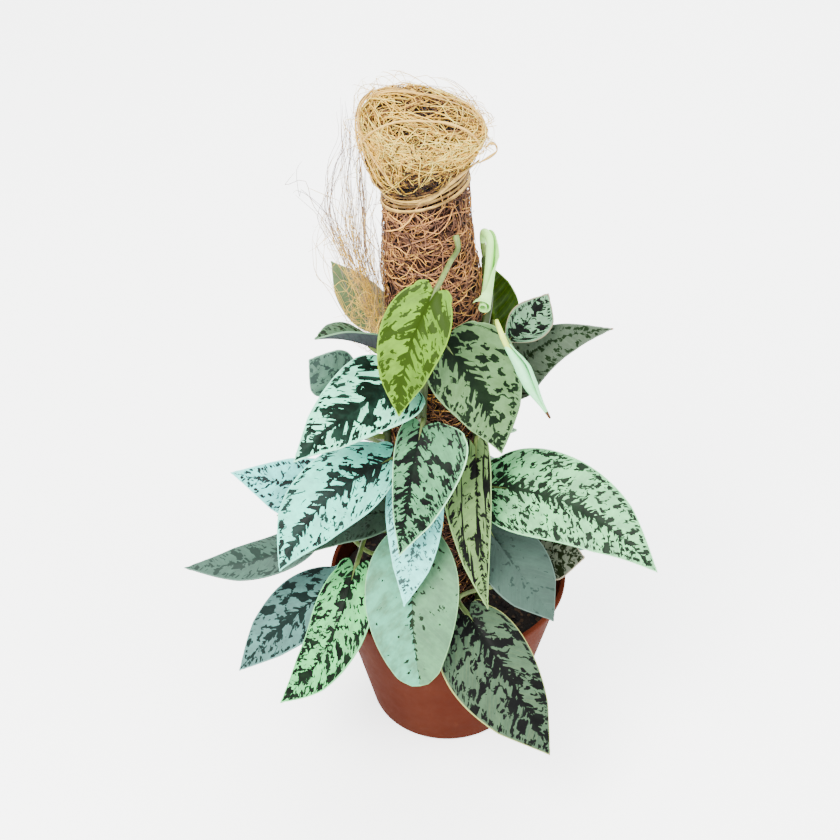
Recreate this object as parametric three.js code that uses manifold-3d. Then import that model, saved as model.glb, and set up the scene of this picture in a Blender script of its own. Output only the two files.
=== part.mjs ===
import * as THREE from "three";
import { mergeVertices } from "three/addons/utils/BufferGeometryUtils.js";
import Module from "manifold-3d";

// Silver lady satin pothos in a nursery pot, climbing a coir pole.
// Millimetres, +Z up. The origin is the middle of the pot's foot, and the plant's front looks to -Y.

const wasm = await Module();
wasm.setup();

// Driving dimensions
const CLEARANCE = 0.35;
const POT = { height: 88, rimRadius: 60, footRadius: 39.5, footEdge: 1.5, wall: 1.6, floor: 2, sides: 32 };
const RIM = { height: 3, lip: 0.8 };
const DRAIN = { count: 4, radius: 4, ring: 25, sides: 12 };
const SOIL = { level: 78, mound: 2.4, shoulder: 2, sides: 28, rings: 5, wellDepth: 6, wellTop: 100 };
const CRUMB = { height: 1.1, acrossX: 0.41, acrossY: 0.37, bendX: 0.19, bendY: 0.23, pushX: 0.9, pushY: 1.3 };
const STAKE = { radius: 7.5, bottom: 8, top: 317, sides: 10 };
const SLEEVE = { bottom: 12, top: 320.5, sides: 14, levels: [80, 240, 274, 284, 297] };
const HEAD = { bottom: 321, sides: 14 };
const TIE = { turns: 3.2, bottom: 313, rise: 6.5, thick: 1.2, sides: 4, start: -7, stepsPerTurn: 10 };
const VINE = { radius: 2.1, sides: 6, steps: 12, depth: 26, holeSides: 10 };
const PETIOLE = {
  radius: 1.15, sides: 5, steps: 5, offStem: 0.6, underBlade: 0.14, leaveShare: 0.3, meetShare: 0.22,
  below: 0.35, endRise: 0.2, coirAzimuth: 38,
};
const BLADE = { thick: 0.9, lobe: 0.07, lobeCentre: 0.15, drip: 0.3, fullness: 0.72, dripCurve: 0.3 };
const WISP = { strandRadius: 0.55, strandSteps: 9, knotRadius: 2.2, seed: 5 };
const ROLL = { sides: 9, steps: 12, innermost: 0.86, opening: 0.28 };

// Strands that stand out of the coir. Each range is drawn from evenly: where a strand starts and ends,
// how far it goes round and how far it climbs. Its ends dive below the surface.
const STRAND_POINTS = 6;
const STRAND_SIDES = 3;
const SLEEVE_STRANDS = {
  count: 20, radius: 1.5, sunk: 0.2, endsSunk: 2.4, seed: 37,
  height: [110, 268], sweep: [70, 150], climb: [12, 28], ripple: 3,
};
const HEAD_STRANDS = {
  count: 22, radius: 1.8, sunk: 0.7, endsSunk: 2.8, seed: 11,
  from: [0.1, 0.35], to: [0.72, 0.92], shift: [0, 14], twist: [-75, 75], crownRadius: 18,
};

// Where the pole's axis stands at each height: it leans a little to the left, more towards the head.
const POLE_LEAN = [
  [0, -4], [80, -5], [240, -7.8], [262, -8.8], [281, -10.6], [300, -11.6], [316, -12.3], [331, -13.6],
];

// The neck is tied aslant and the head droops to the right. The coir at the neck stands higher on the right
// and lower on the left, by this rise at this distance from the axis, and by this share of it at each height.
// Over the head's top the share is negative, so its left side is the higher one.
const NECK = { rise: 4.5, radius: 18, share: [[296, 0], [314, 1], [324, 1], [338, 0], [350, -0.75]] };

// Radius of the coir round the axis at each height of the sleeve.
const SLEEVE_RADIUS = [
  [0, 21], [80, 21.3], [240, 21.5], [274, 21.3], [284, 20], [297, 18.7], [321, 17.6],
];

// The head's outline as [radius, height], from the neck over the dome.
const HEAD_PROFILE = [
  [18.2, 321], [21, 324.5], [23.4, 330], [25.2, 335.5], [26, 340.5], [25, 345.2], [20.3, 349.2], [11.5, 351.2],
  [0, 351.8],
];

// The tie's loop after its last turn: degrees further round, distance from the axis, height.
const TIE_LOOP = [[10, 28.4, 325], [17, 30.6, 331], [24, 30.2, 335], [27, 28, 331]];

// Loose fibres: where they are rooted, as azimuth, distance and height, and where each one ends.
const WISP_ROOT = [-78, 27, 222];
const WISP_TIPS = [
  [-46, 2, 350], [-52, -4, 340], [-70, -6, 322], [-74, 4, 300],
  [-42, 8, 330], [-58, 6, 288], [-64, -2, 270], [-50, -6, 300],
];

const COLOURS = {
  pot: 0x8a4431, soil: 0x2a211c, stake: 0x9a7b57, coir: 0x8a5c38, straw: 0xc2a066, raffia: 0xb4955c,
  stem: 0x6f8a4c, silver: 0xa9bfa9, blue: 0x8fa6a6, young: 0x8f9f5a, plain: 0x5d7a45, yellow: 0xa8ae78,
  pale: 0xc3cfae,
};
const ROUGHNESS = { pot: 0.62, soil: 0.95, stake: 0.8, coir: 0.95, raffia: 0.8, stem: 0.6, leaf: 0.5 };

const DEG = Math.PI / 180;

// A table of [key, value] rows read between its rows.
function tableAt(rows, key) {
  if (key <= rows[0][0]) {
    return rows[0][1];
  }
  for (let i = 1; i < rows.length; i += 1) {
    const [k0, v0] = rows[i - 1];
    const [k1, v1] = rows[i];
    if (key <= k1) {
      return v0 + ((v1 - v0) * (key - k0)) / (k1 - k0);
    }
  }
  return rows[rows.length - 1][1];
}

// A small seeded draw of numbers from 0 to 1.
function drawer(seed) {
  let state = seed * 7919 + 17;
  return () => {
    state = (state * 16807) % 2147483647;
    return state / 2147483647;
  };
}

const between = (draw, [low, high]) => low + (high - low) * draw();
const poleX = (z) => tableAt(POLE_LEAN, z);
const sleeveRadius = (z) => tableAt(SLEEVE_RADIUS, z);

// A point round the pole: azimuth 0 is the front, 90 the right hand side.
function roundPole(azimuth, radius, z) {
  return new THREE.Vector3(
    poleX(z) + radius * Math.sin(azimuth * DEG),
    -radius * Math.cos(azimuth * DEG),
    z,
  );
}

// The same point where the slanting neck has it.
function aslant(point) {
  const lift = (NECK.rise * (point.x - poleX(point.z)) * tableAt(NECK.share, point.z)) / NECK.radius;
  return new THREE.Vector3(point.x, point.y, point.z + lift);
}

// Solids and meshes

function solidOf(geometry) {
  const bare = geometry.index ? geometry.toNonIndexed() : geometry.clone();
  bare.deleteAttribute("normal");
  bare.deleteAttribute("uv");
  const welded = mergeVertices(bare, 1e-4);
  const index = welded.index.array;
  const kept = [];
  for (let i = 0; i < index.length; i += 3) {
    const [a, b, c] = [index[i], index[i + 1], index[i + 2]];
    if (a !== b && b !== c && c !== a) {
      kept.push(a, b, c);
    }
  }
  return new wasm.Manifold(new wasm.Mesh({
    numProp: 3,
    vertProperties: new Float32Array(welded.attributes.position.array),
    triVerts: new Uint32Array(kept),
  }));
}

function solidOfCorners(corners) {
  const geometry = new THREE.BufferGeometry();
  const numbers = corners.flatMap((corner) => corner.toArray());
  geometry.setAttribute("position", new THREE.Float32BufferAttribute(numbers, 3));
  return solidOf(geometry);
}

function geometryOf(solid) {
  const mesh = solid.getMesh();
  const geometry = new THREE.BufferGeometry();
  geometry.setAttribute("position", new THREE.BufferAttribute(new Float32Array(mesh.vertProperties), 3));
  geometry.setIndex(new THREE.BufferAttribute(new Uint32Array(mesh.triVerts), 1));
  geometry.computeVertexNormals();
  return geometry;
}

function part(name, solid, colour, roughness) {
  const material = new THREE.MeshStandardMaterial({ color: colour, roughness, metalness: 0 });
  const mesh = new THREE.Mesh(geometryOf(solid), material);
  mesh.name = name;
  return mesh;
}

const joined = (solids) => solids.reduce((sum, next) => sum.add(next));

function polygon(radius, sides) {
  const shape = new THREE.Shape();
  for (let i = 0; i < sides; i += 1) {
    const angle = (2 * Math.PI * i) / sides;
    const [x, y] = [radius * Math.cos(angle), radius * Math.sin(angle)];
    if (i === 0) {
      shape.moveTo(x, y);
    } else {
      shape.lineTo(x, y);
    }
  }
  shape.closePath();
  return shape;
}

// A rod of even section along a curve through the points.
function rod(points, radius, sides, steps) {
  const path = new THREE.CatmullRomCurve3(points, false, "centripetal");
  return solidOf(new THREE.ExtrudeGeometry(polygon(radius, sides), { steps, extrudePath: path }));
}

function latheOf(profile, sides) {
  const lathe = new THREE.LatheGeometry(profile.map(([r, z]) => new THREE.Vector2(r, z)), sides);
  lathe.rotateX(Math.PI / 2);
  return lathe;
}

// A turned body whose every level is slid over to the pole's leaning axis.
function turnedOnPole(profile, sides) {
  const lathe = latheOf(profile, sides);
  const place = lathe.attributes.position;
  const corner = new THREE.Vector3();
  for (let i = 0; i < place.count; i += 1) {
    corner.fromBufferAttribute(place, i);
    corner.x += poleX(corner.z);
    place.setXYZ(i, ...aslant(corner));
  }
  return solidOf(lathe);
}

// An upright drill that cuts a plain round hole.
function drillAt(x, y, z, radius, length, sides) {
  const drill = new THREE.CylinderGeometry(radius, radius, length, sides);
  drill.rotateX(Math.PI / 2);
  drill.translate(x, y, z);
  return solidOf(drill);
}

// Pot and soil

const potOuter = (z) => POT.footRadius + ((POT.rimRadius - POT.footRadius) * z) / POT.height;
const potInner = (z) => potOuter(z) - POT.wall;

function makePot() {
  const rimFoot = POT.height - RIM.height;
  let pot = solidOf(latheOf([
    [0, 0],
    [POT.footRadius - POT.footEdge, 0],
    [POT.footRadius, POT.footEdge],
    [potOuter(rimFoot), rimFoot],
    [POT.rimRadius + RIM.lip, rimFoot + RIM.lip],
    [POT.rimRadius + RIM.lip, POT.height],
    [POT.rimRadius - POT.wall, POT.height],
    [potInner(POT.floor), POT.floor],
    [0, POT.floor],
  ], POT.sides));
  for (let i = 0; i < DRAIN.count; i += 1) {
    const angle = ((i + 0.5) * 2 * Math.PI) / DRAIN.count;
    const [x, y] = [DRAIN.ring * Math.cos(angle), DRAIN.ring * Math.sin(angle)];
    pot = pot.subtract(drillAt(x, y, 0, DRAIN.radius, 4 * POT.floor, DRAIN.sides));
  }
  return pot;
}

// The soil's top is mounded, and raised and pitted by two waves that run across each other.
function soilTop(x, y) {
  const r = Math.hypot(x, y) / POT.rimRadius;
  const ridges = Math.sin(x * CRUMB.acrossX + CRUMB.pushY * Math.sin(y * CRUMB.bendY));
  const pits = Math.cos(y * CRUMB.acrossY - CRUMB.pushX * Math.sin(x * CRUMB.bendX));
  return SOIL.level + SOIL.mound * (1 - r * r) + CRUMB.height * ridges * pits;
}

function makeSoil(holes) {
  const edge = (z) => potInner(z) - 2 * CLEARANCE;
  const bottom = POT.floor + CLEARANCE;
  const profile = [[0, bottom], [edge(bottom), bottom]];
  for (let i = 0; i <= SOIL.rings; i += 1) {
    profile.push([edge(SOIL.level - SOIL.shoulder) * (1 - i / SOIL.rings), SOIL.level]);
  }
  const lathe = latheOf(profile, SOIL.sides);
  const place = lathe.attributes.position;
  const even = (value) => Math.round(value * 1000) / 1000;
  for (let i = 0; i < place.count; i += 1) {
    if (place.getZ(i) > SOIL.level - CLEARANCE) {
      place.setZ(i, soilTop(even(place.getX(i)), even(place.getY(i))));
    }
  }
  const socket = sleeveRadius(SOIL.level) + SLEEVE_STRANDS.radius + 2 * CLEARANCE;
  const wellBottom = SLEEVE.bottom - SOIL.wellDepth;
  const well = [[0, wellBottom], [socket, wellBottom], [socket, SOIL.wellTop], [0, SOIL.wellTop]];
  const cutters = [turnedOnPole(well, SLEEVE.sides), ...holes];
  return cutters.reduce((soil, cutter) => soil.subtract(cutter), solidOf(lathe));
}

// Coir pole

// A plain rod on the pole's axis, with a ring wherever the lean changes.
function axisRod(radius, from, to, sides) {
  const kinks = POLE_LEAN.map(([z]) => z).filter((z) => z > from && z < to);
  const profile = [[0, from], ...[from, ...kinks, to].map((z) => [radius, z]), [0, to]];
  return turnedOnPole(profile, sides);
}

function strandRod(points, strands) {
  return rod(points, strands.radius, STRAND_SIDES, STRAND_POINTS);
}

const isEnd = (k) => k === 0 || k === STRAND_POINTS;

function makeSleeve() {
  const levels = [SLEEVE.bottom, ...SLEEVE.levels, SLEEVE.top];
  const profile = [[0, SLEEVE.bottom], ...levels.map((z) => [sleeveRadius(z), z]), [0, SLEEVE.top]];
  const strands = SLEEVE_STRANDS;
  const draw = drawer(strands.seed);
  const solids = [turnedOnPole(profile, SLEEVE.sides)];
  for (let i = 0; i < strands.count; i += 1) {
    const azimuth = between(draw, [0, 360]);
    const start = between(draw, strands.height);
    const hand = draw() < 0.5 ? -1 : 1;
    const sweep = hand * between(draw, strands.sweep);
    const climb = between(draw, strands.climb);
    const points = [];
    for (let k = 0; k <= STRAND_POINTS; k += 1) {
      const s = k / STRAND_POINTS;
      const z = start + climb * s + strands.ripple * Math.sin(STRAND_POINTS * s + i);
      const depth = isEnd(k) ? strands.endsSunk : strands.sunk;
      points.push(aslant(roundPole(azimuth + sweep * s, sleeveRadius(z) - depth, z)));
    }
    solids.push(strandRod(points, strands));
  }
  const bore = axisRod(STAKE.radius + CLEARANCE, SLEEVE.bottom - 1, SLEEVE.top + 1, STAKE.sides);
  return joined(solids).subtract(bore);
}

// The head's radius and height at a share of the way along its outline.
function headOutlineAt(share) {
  const along = share * (HEAD_PROFILE.length - 1);
  const row = Math.min(Math.floor(along), HEAD_PROFILE.length - 2);
  const beyond = along - row;
  return [0, 1].map((i) => HEAD_PROFILE[row][i] * (1 - beyond) + HEAD_PROFILE[row + 1][i] * beyond);
}

function makeHead() {
  const strands = HEAD_STRANDS;
  const draw = drawer(strands.seed);
  const solids = [turnedOnPole([[0, HEAD.bottom], ...HEAD_PROFILE], HEAD.sides)];
  for (let i = 0; i < strands.count; i += 1) {
    const azimuth = (360 * i) / strands.count + between(draw, strands.shift);
    const twist = between(draw, strands.twist);
    const from = between(draw, strands.from);
    const to = between(draw, strands.to);
    const points = [];
    for (let k = 0; k <= STRAND_POINTS; k += 1) {
      const s = k / STRAND_POINTS;
      const [radius, z] = headOutlineAt(from + (to - from) * s);
      const depth = isEnd(k) ? strands.endsSunk : strands.sunk;
      const drop = radius < strands.crownRadius ? depth : 0;
      points.push(aslant(roundPole(azimuth + twist * s, Math.max(radius - depth, 1), z - drop)));
    }
    solids.push(strandRod(points, strands));
  }
  return joined(solids);
}

// The raffia tie: a few turns round the neck, then a small loop that stands off on the right.
function makeTie() {
  const points = [];
  const steps = Math.round(TIE.turns * TIE.stepsPerTurn);
  for (let k = 0; k <= steps; k += 1) {
    const s = k / steps;
    const z = TIE.bottom + TIE.rise * s;
    const radius = sleeveRadius(z) + 3 * CLEARANCE + TIE.thick;
    points.push(aslant(roundPole(TIE.start + 360 * TIE.turns * s, radius, z)));
  }
  const end = TIE.start + 360 * TIE.turns;
  for (const [further, radius, z] of TIE_LOOP) {
    points.push(aslant(roundPole(end + further, radius, z)));
  }
  return rod(points, TIE.thick / 2, TIE.sides, steps + 3 * TIE_LOOP.length);
}

// Loose coir fibres that have come off the pole's left side and stand away from it, bowed to the left.
function makeWisp() {
  const root = roundPole(...WISP_ROOT);
  const draw = drawer(WISP.seed);
  const solids = WISP_TIPS.map((end) => {
    const tip = new THREE.Vector3(...end);
    const bow = new THREE.Vector3(between(draw, [-8, -16]), between(draw, [-4, 4]), between(draw, [-3, 3]));
    const bowed = (share, amount) => root.clone().lerp(tip, share).addScaledVector(bow, amount);
    const points = [root, bowed(0.12, 0.4), bowed(0.45, 1), bowed(0.78, 0.5), tip];
    return rod(points, WISP.strandRadius, STRAND_SIDES, WISP.strandSteps);
  });
  const knot = new THREE.IcosahedronGeometry(WISP.knotRadius, 0);
  knot.translate(root.x, root.y, root.z);
  return joined([...solids, solidOf(knot)]);
}

// Climbing stems: each is a list of [height, azimuth round the pole], from the soil up.
const VINES = {
  stem_left: [[78, -64], [110, -60], [150, -62], [190, -66], [236, -60]],
  stem_front: [[78, -28], [110, -26], [150, -20], [200, -14], [240, -8], [252, -6]],
  stem_right: [[78, 56], [120, 58], [160, 54], [200, 52], [238, 56], [256, 86], [278, 92]],
  stem_back_left: [[78, -132], [110, -128], [150, -134], [200, -130], [240, -126]],
  stem_back_right: [[78, 160], [120, 164], [170, 160], [220, 164], [256, 168]],
};

const coirReach = (z) => sleeveRadius(z) + SLEEVE_STRANDS.radius - SLEEVE_STRANDS.sunk;
const vineReach = (z) => coirReach(z) + CLEARANCE + VINE.radius;
const vineAzimuth = (name, z) => tableAt(VINES[name], z);
const vinePoint = (name, z) => roundPole(vineAzimuth(name, z), vineReach(z), z);

function makeVine(name) {
  const points = VINES[name].map(([z]) => vinePoint(name, z));
  const foot = points[0].clone();
  foot.z = SOIL.level - VINE.depth;
  return rod([foot, ...points], VINE.radius, VINE.sides, VINE.steps);
}

// A plain round hole in the soil where a stem goes in.
function stemHole(name) {
  const foot = vinePoint(name, SOIL.level);
  const gap = 2 * CLEARANCE;
  return drillAt(foot.x, foot.y, SOIL.level - gap, VINE.radius + gap, 2 * VINE.depth, VINE.holeSides);
}

// Leaves
// base is where the petiole meets the blade and tip is the leaf's point. face is the way the upper side
// looks, as azimuth and height in degrees. fold lifts both halves, arch bends the midrib, sway carries it to
// one side, and skew makes one half wider. widest is the widest place, as a share of the length. leave turns
// the petiole's first direction round the pole, and lift raises it. The top leaf's petiole shows no stem: it
// comes straight out of the coir.
const LEAF_DEFAULTS = { fold: 8, arch: 15, sway: 0, skew: 0, widest: 0.36, leave: 0, lift: 0.35 };

const leafTable = [];
function leaf(name, stem, height, base, tip, width, tone, more) {
  leafTable.push({ name, stem, height, base, tip, width, tone, ...LEAF_DEFAULTS, ...more });
}

// Leaves that show in front, from the top of the plant down.
leaf("leaf_top_young", "coir", 293, [-8, -38, 283], [-22, -58, 233], 30, "young",
  { face: [-15, 40], sway: -0.05, widest: 0.3, leave: -62, lift: -0.3 });
leaf("leaf_upper_centre", "stem_front", 246, [-2, -32, 252], [23, -54, 210], 43, "silver",
  { face: [25, 45], sway: 0.04, skew: 0.14, widest: 0.24, fold: 6 });
leaf("leaf_curled_left", "stem_left", 236, [-33, -22, 243], [-59, -38, 259], 24, "blue",
  { face: [-20, 120], fold: 30 });
leaf("leaf_behind_left", "stem_left", 206, [-46, -8, 215], [-64, -20, 235], 25, "blue",
  { face: [-9, 30], sway: -0.03, skew: 0.12, widest: 0.55, leave: -20 });
leaf("leaf_back_plain", "stem_back_left", 210, [-32, 26, 222], [-57, 34, 253], 21, "plain",
  { face: [0, 20] });
leaf("leaf_right_plain", "stem_back_right", 222, [20, 16, 228], [15, 20, 262], 25, "plain",
  { face: [160, 0] });
leaf("leaf_upper_right", "stem_right", 234, [26, -12, 242], [42, -18, 271], 19, "blue",
  { face: [18, 40], sway: -0.02, skew: -0.05, widest: 0.54 });
leaf("leaf_right_point", "stem_right", 208, [28, 0, 212], [71, -24, 257], 25, "blue",
  { face: [20, 40], sway: 0.11, skew: -0.11, widest: 0.14 });
leaf("leaf_upper_left", "stem_left", 230, [-24, -31, 231], [-68, -66, 213], 43, "silver",
  { face: [-38, 45], widest: 0.14, fold: 6 });
leaf("leaf_centre", "stem_front", 206, [-13, -44, 215], [-22, -71, 163], 33, "silver",
  { face: [-5, 45], skew: 0.4, widest: 0.14, fold: 6 });
leaf("leaf_narrow_yellow", "stem_right", 192, [12, -38, 199], [19, -68, 127], 24, "yellow",
  { face: [-22, 35], skew: -0.36, widest: 0.14, fold: 12 });
leaf("leaf_middle_left", "stem_left", 184, [-28, -38, 192], [-76, -78, 159], 40, "silver",
  { face: [-38, 45], sway: -0.08, fold: 6 });
leaf("leaf_centre_blue", "stem_front", 176, [-16, -40, 183], [-20, -74, 134], 27, "blue",
  { face: [-5, 45], sway: 0.04, widest: 0.23, fold: 6 });
leaf("leaf_right_large", "stem_right", 163, [20, -30, 170], [94, -78, 162], 43, "silver",
  { face: [20, 40], sway: 0.1, widest: 0.26, fold: 4 });
leaf("leaf_folded_left", "stem_left", 158, [-26, -30, 153], [-73, -62, 151], 32, "plain",
  { face: [-30, 60], sway: -0.1, fold: 14 });
leaf("leaf_front_plain", "stem_front", 146, [-15, -44, 153], [-12, -92, 100], 44, "blue",
  { face: [0, 45], sway: -0.04, fold: 6 });
leaf("leaf_left_point", "stem_left", 138, [-41, -15, 143], [-100, -44, 188], 36, "silver",
  { face: [-10, 30], sway: -0.04 });
leaf("leaf_right_plain_low", "stem_right", 138, [20, -34, 145], [50, -70, 122], 36, "blue",
  { face: [38, 45], sway: -0.03, fold: 6 });
leaf("leaf_green_left", "stem_left", 126, [-45, -46, 129], [-80, -80, 73], 32, "yellow",
  { face: [-40, 45], sway: 0.14, skew: 0.08, widest: 0.3, fold: 6 });
leaf("leaf_left_long", "stem_left", 112, [-63, -14, 130], [-125, -52, 135], 22, "blue",
  { face: [-30, 65], sway: 0.16, skew: 0.09, widest: 0.47 });
leaf("leaf_right_back", "stem_right", 120, [41, -14, 118], [66, -36, 131], 23, "silver",
  { face: [10, 40], skew: -0.24, widest: 0.55, fold: 6 });
leaf("leaf_low_left", "stem_left", 98, [-51, -32, 110], [-101, -66, 80], 38, "blue",
  { face: [-55, 45], fold: 6 });
leaf("leaf_over_pot", "stem_right", 95, [11, -58, 112], [50, -100, 62], 44, "silver",
  { face: [20, 45], skew: -0.25, widest: 0.29, fold: 6 });

// Leaves on the far side, placed by azimuth round the pole, distance from its axis and height.
function farLeaf(name, stem, height, base, tip, width, tone) {
  const [from, to] = [base, tip].map(([azimuth, radius, z]) => roundPole(azimuth, radius, z).toArray());
  leaf(name, stem, height, from, to, width, tone, { face: [(base[0] + tip[0]) / 2, 45], fold: 6 });
}
farLeaf("leaf_far_1", "stem_back_right", 246, [168, 34, 250], [174, 62, 205], 38, "silver");
farLeaf("leaf_far_2", "stem_back_left", 224, [-162, 33, 228], [-166, 70, 190], 38, "silver");
farLeaf("leaf_far_3", "stem_back_right", 206, [142, 34, 212], [138, 70, 186], 36, "blue");
farLeaf("leaf_far_4", "stem_back_right", 182, [172, 33, 188], [176, 74, 148], 40, "silver");
farLeaf("leaf_far_5", "stem_back_left", 182, [-136, 34, 186], [-128, 72, 166], 36, "blue");
farLeaf("leaf_far_6", "stem_back_right", 158, [142, 34, 160], [158, 72, 130], 34, "silver");
farLeaf("leaf_far_7", "stem_back_left", 146, [-152, 34, 152], [-162, 80, 108], 42, "silver");
farLeaf("leaf_far_8", "stem_back_right", 124, [152, 36, 130], [150, 86, 92], 42, "blue");
farLeaf("leaf_far_9", "stem_back_left", 112, [-118, 36, 116], [-108, 90, 98], 38, "silver");
farLeaf("leaf_far_10", "stem_back_right", 100, [108, 38, 106], [98, 88, 94], 38, "blue");

// Young leaves that are still rolled up: the spine's points, then the roll's radius along it.
const ROLLED = {
  leaf_rolled_top: {
    spine: [[13, 2.5, 284], [13.5, 1, 290], [16, -4.5, 291.5], [16.5, -8, 283], [15.5, -10, 272], [15, -12, 258]],
    radii: [[0, 1.1], [0.32, 1.2], [0.46, 2.5], [0.8, 3.1], [1, 3.5]],
  },
  leaf_rolled_right: {
    spine: [[20, -15, 254], [20.5, -28, 260], [24, -34, 254.5], [30, -41, 248.5], [35, -47, 241], [43.5, -52, 228.5]],
    radii: [[0, 0.9], [0.3, 1.2], [0.5, 2.2], [0.68, 3.7], [0.8, 3], [0.9, 1.2], [1, 0.6]],
  },
};

// Half the blade's width at a share of its length: round behind, and drawn out to a point in front.
function halfWidth(row, a) {
  if (a >= 1) {
    return 0;
  }
  const { lobe } = BLADE;
  const along = Math.max((a + lobe) / (1 + lobe), 0);
  const power = Math.log(0.5) / Math.log((row.widest + lobe) / (1 + lobe));
  const belly = Math.sin(Math.PI * along ** power) ** BLADE.fullness;
  const point = Math.min((1 - a) / BLADE.drip, 1) ** BLADE.dripCurve;
  return 0.5 * row.width * belly * point;
}

// The blade's inner and outer edge at a station: behind the petiole the two lobes stand apart.
function bladeEdges(row, a) {
  if (a >= 0) {
    return [0, halfWidth(row, a)];
  }
  const back = Math.min(-a / BLADE.lobe, 1);
  const round = Math.sqrt(1 - back * back);
  const centre = BLADE.lobeCentre * row.width;
  const shoulder = halfWidth(row, 0);
  return [centre * (0.5 * back + 0.5 * (1 - round)), centre + (shoulder - centre) * round];
}

// The arched midrib, seen from the side, as points of a curve from [0, 0] to [1, 0].
const MIDRIB_STEPS = 32;
function midribCurve(row) {
  const points = [[0, 0]];
  for (let i = 0; i < MIDRIB_STEPS; i += 1) {
    const angle = row.arch * (1 - (2 * (i + 0.5)) / MIDRIB_STEPS) * DEG;
    const [x, z] = points[i];
    points.push([x + Math.cos(angle) / MIDRIB_STEPS, z + Math.sin(angle) / MIDRIB_STEPS]);
  }
  const [endX, endZ] = points[MIDRIB_STEPS];
  const length = Math.hypot(endX, endZ);
  const [c, s] = [endX / length, endZ / length];
  return points.map(([x, z]) => [(x * c + z * s) / length, (z * c - x * s) / length]);
}

function bladeFrame(row) {
  const base = new THREE.Vector3(...row.base);
  const chord = new THREE.Vector3(...row.tip).sub(base);
  const length = chord.length();
  const along = chord.clone().divideScalar(length);
  const [azimuth, height] = row.face.map((angle) => angle * DEG);
  const normal = new THREE.Vector3(
    Math.sin(azimuth) * Math.cos(height),
    -Math.cos(azimuth) * Math.cos(height),
    Math.sin(height),
  );
  normal.addScaledVector(along, -normal.dot(along)).normalize();
  const across = new THREE.Vector3().crossVectors(normal, along);
  return { base, length, along, normal, across, midrib: midribCurve(row) };
}

// The midrib's place and its own along, across and up directions at a station.
function midribAt(row, frame, a) {
  const { midrib, length } = frame;
  const last = midrib.length - 1;
  const t = Math.min(Math.max(a, 0), 0.9999) * last;
  const i = Math.floor(t);
  const low = midrib[Math.max(i - 1, 0)];
  const high = midrib[Math.min(i + 2, last)];
  const share = t - i;
  const before = Math.min(a, 0);
  const slope = [(midrib[1][0] - midrib[0][0]) * last, (midrib[1][1] - midrib[0][1]) * last];
  const x = midrib[i][0] * (1 - share) + midrib[i + 1][0] * share + slope[0] * before;
  const z = midrib[i][1] * (1 - share) + midrib[i + 1][1] * share + slope[1] * before;
  const side = row.sway * (a > 0 ? Math.sin(Math.PI * a) : Math.PI * a);
  const turn = row.sway * Math.PI * Math.cos(Math.PI * Math.max(a, 0));
  const place = frame.base.clone()
    .addScaledVector(frame.along, x * length)
    .addScaledVector(frame.normal, z * length)
    .addScaledVector(frame.across, side * length);
  const tangent = new THREE.Vector3()
    .addScaledVector(frame.along, high[0] - low[0])
    .addScaledVector(frame.normal, high[1] - low[1])
    .normalize()
    .addScaledVector(frame.across, turn)
    .normalize();
  const across = frame.across.clone().addScaledVector(tangent, -frame.across.dot(tangent)).normalize();
  const up = new THREE.Vector3().crossVectors(tangent, across);
  return { place, tangent, across, up };
}

// A point of the blade on one hand, q of the way from its inner to its outer edge, off its middle layer.
function bladePoint(row, frame, a, hand, q, lift) {
  const [inner, outer] = bladeEdges(row, a);
  const y = (inner + (outer - inner) * q) * (1 + hand * row.skew);
  const rise = row.fold * DEG;
  const rib = midribAt(row, frame, a);
  const up = rib.up.clone().multiplyScalar(Math.cos(rise))
    .addScaledVector(rib.across, -hand * Math.sin(rise));
  return rib.place.clone()
    .addScaledVector(rib.across, hand * y * Math.cos(rise))
    .addScaledVector(rib.up, y * Math.sin(rise))
    .addScaledVector(y === 0 ? rib.up : up, lift);
}

// Stations along the blade, those behind the petiole as a share of the lobe, and columns across each half.
const STATIONS = [-1, -0.5, 0, 0.12, 0.28, 0.46, 0.66, 0.84, 1];
const COLUMNS = [0, 0.5, 1];

function makeBlade(row, frame) {
  const stations = STATIONS.map((a) => (a < 0 ? a * BLADE.lobe : a));
  const last = COLUMNS.length - 1;
  const corners = [];
  for (const hand of [1, -1]) {
    const face = (a, b, c) => (hand > 0 ? corners.push(c, b, a) : corners.push(b, c, a));
    const quad = (a, b, c, d) => {
      face(a, b, c);
      face(a, c, d);
    };
    const [top, under] = [BLADE.thick / 2, -BLADE.thick / 2].map((lift) => stations.map(
      (a) => COLUMNS.map((q) => bladePoint(row, frame, a, hand, q, lift)),
    ));
    for (let i = 0; i + 1 < stations.length; i += 1) {
      for (let j = 0; j < last; j += 1) {
        quad(top[i][j], top[i][j + 1], top[i + 1][j + 1], top[i + 1][j]);
        face(under[i][j], under[i + 1][j + 1], under[i][j + 1]);
        face(under[i][j], under[i + 1][j], under[i + 1][j + 1]);
      }
      quad(under[i][last], under[i + 1][last], top[i + 1][last], top[i][last]);
      if (stations[i] < 0) {
        quad(top[i][0], top[i + 1][0], under[i + 1][0], under[i][0]);
      }
    }
  }
  return solidOfCorners(corners);
}

// Where a petiole starts, and its first direction.
function petioleStart(row) {
  const free = row.stem === "coir";
  const side = free ? PETIOLE.coirAzimuth : vineAzimuth(row.stem, row.height);
  const azimuth = (side + row.leave) * DEG;
  const outward = new THREE.Vector3(Math.sin(azimuth), -Math.cos(azimuth), 0);
  if (free) {
    const reach = coirReach(row.height) + CLEARANCE + PETIOLE.radius;
    return [roundPole(side, reach, row.height), outward];
  }
  return [vinePoint(row.stem, row.height).addScaledVector(outward, VINE.radius + PETIOLE.offStem), outward];
}

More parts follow.
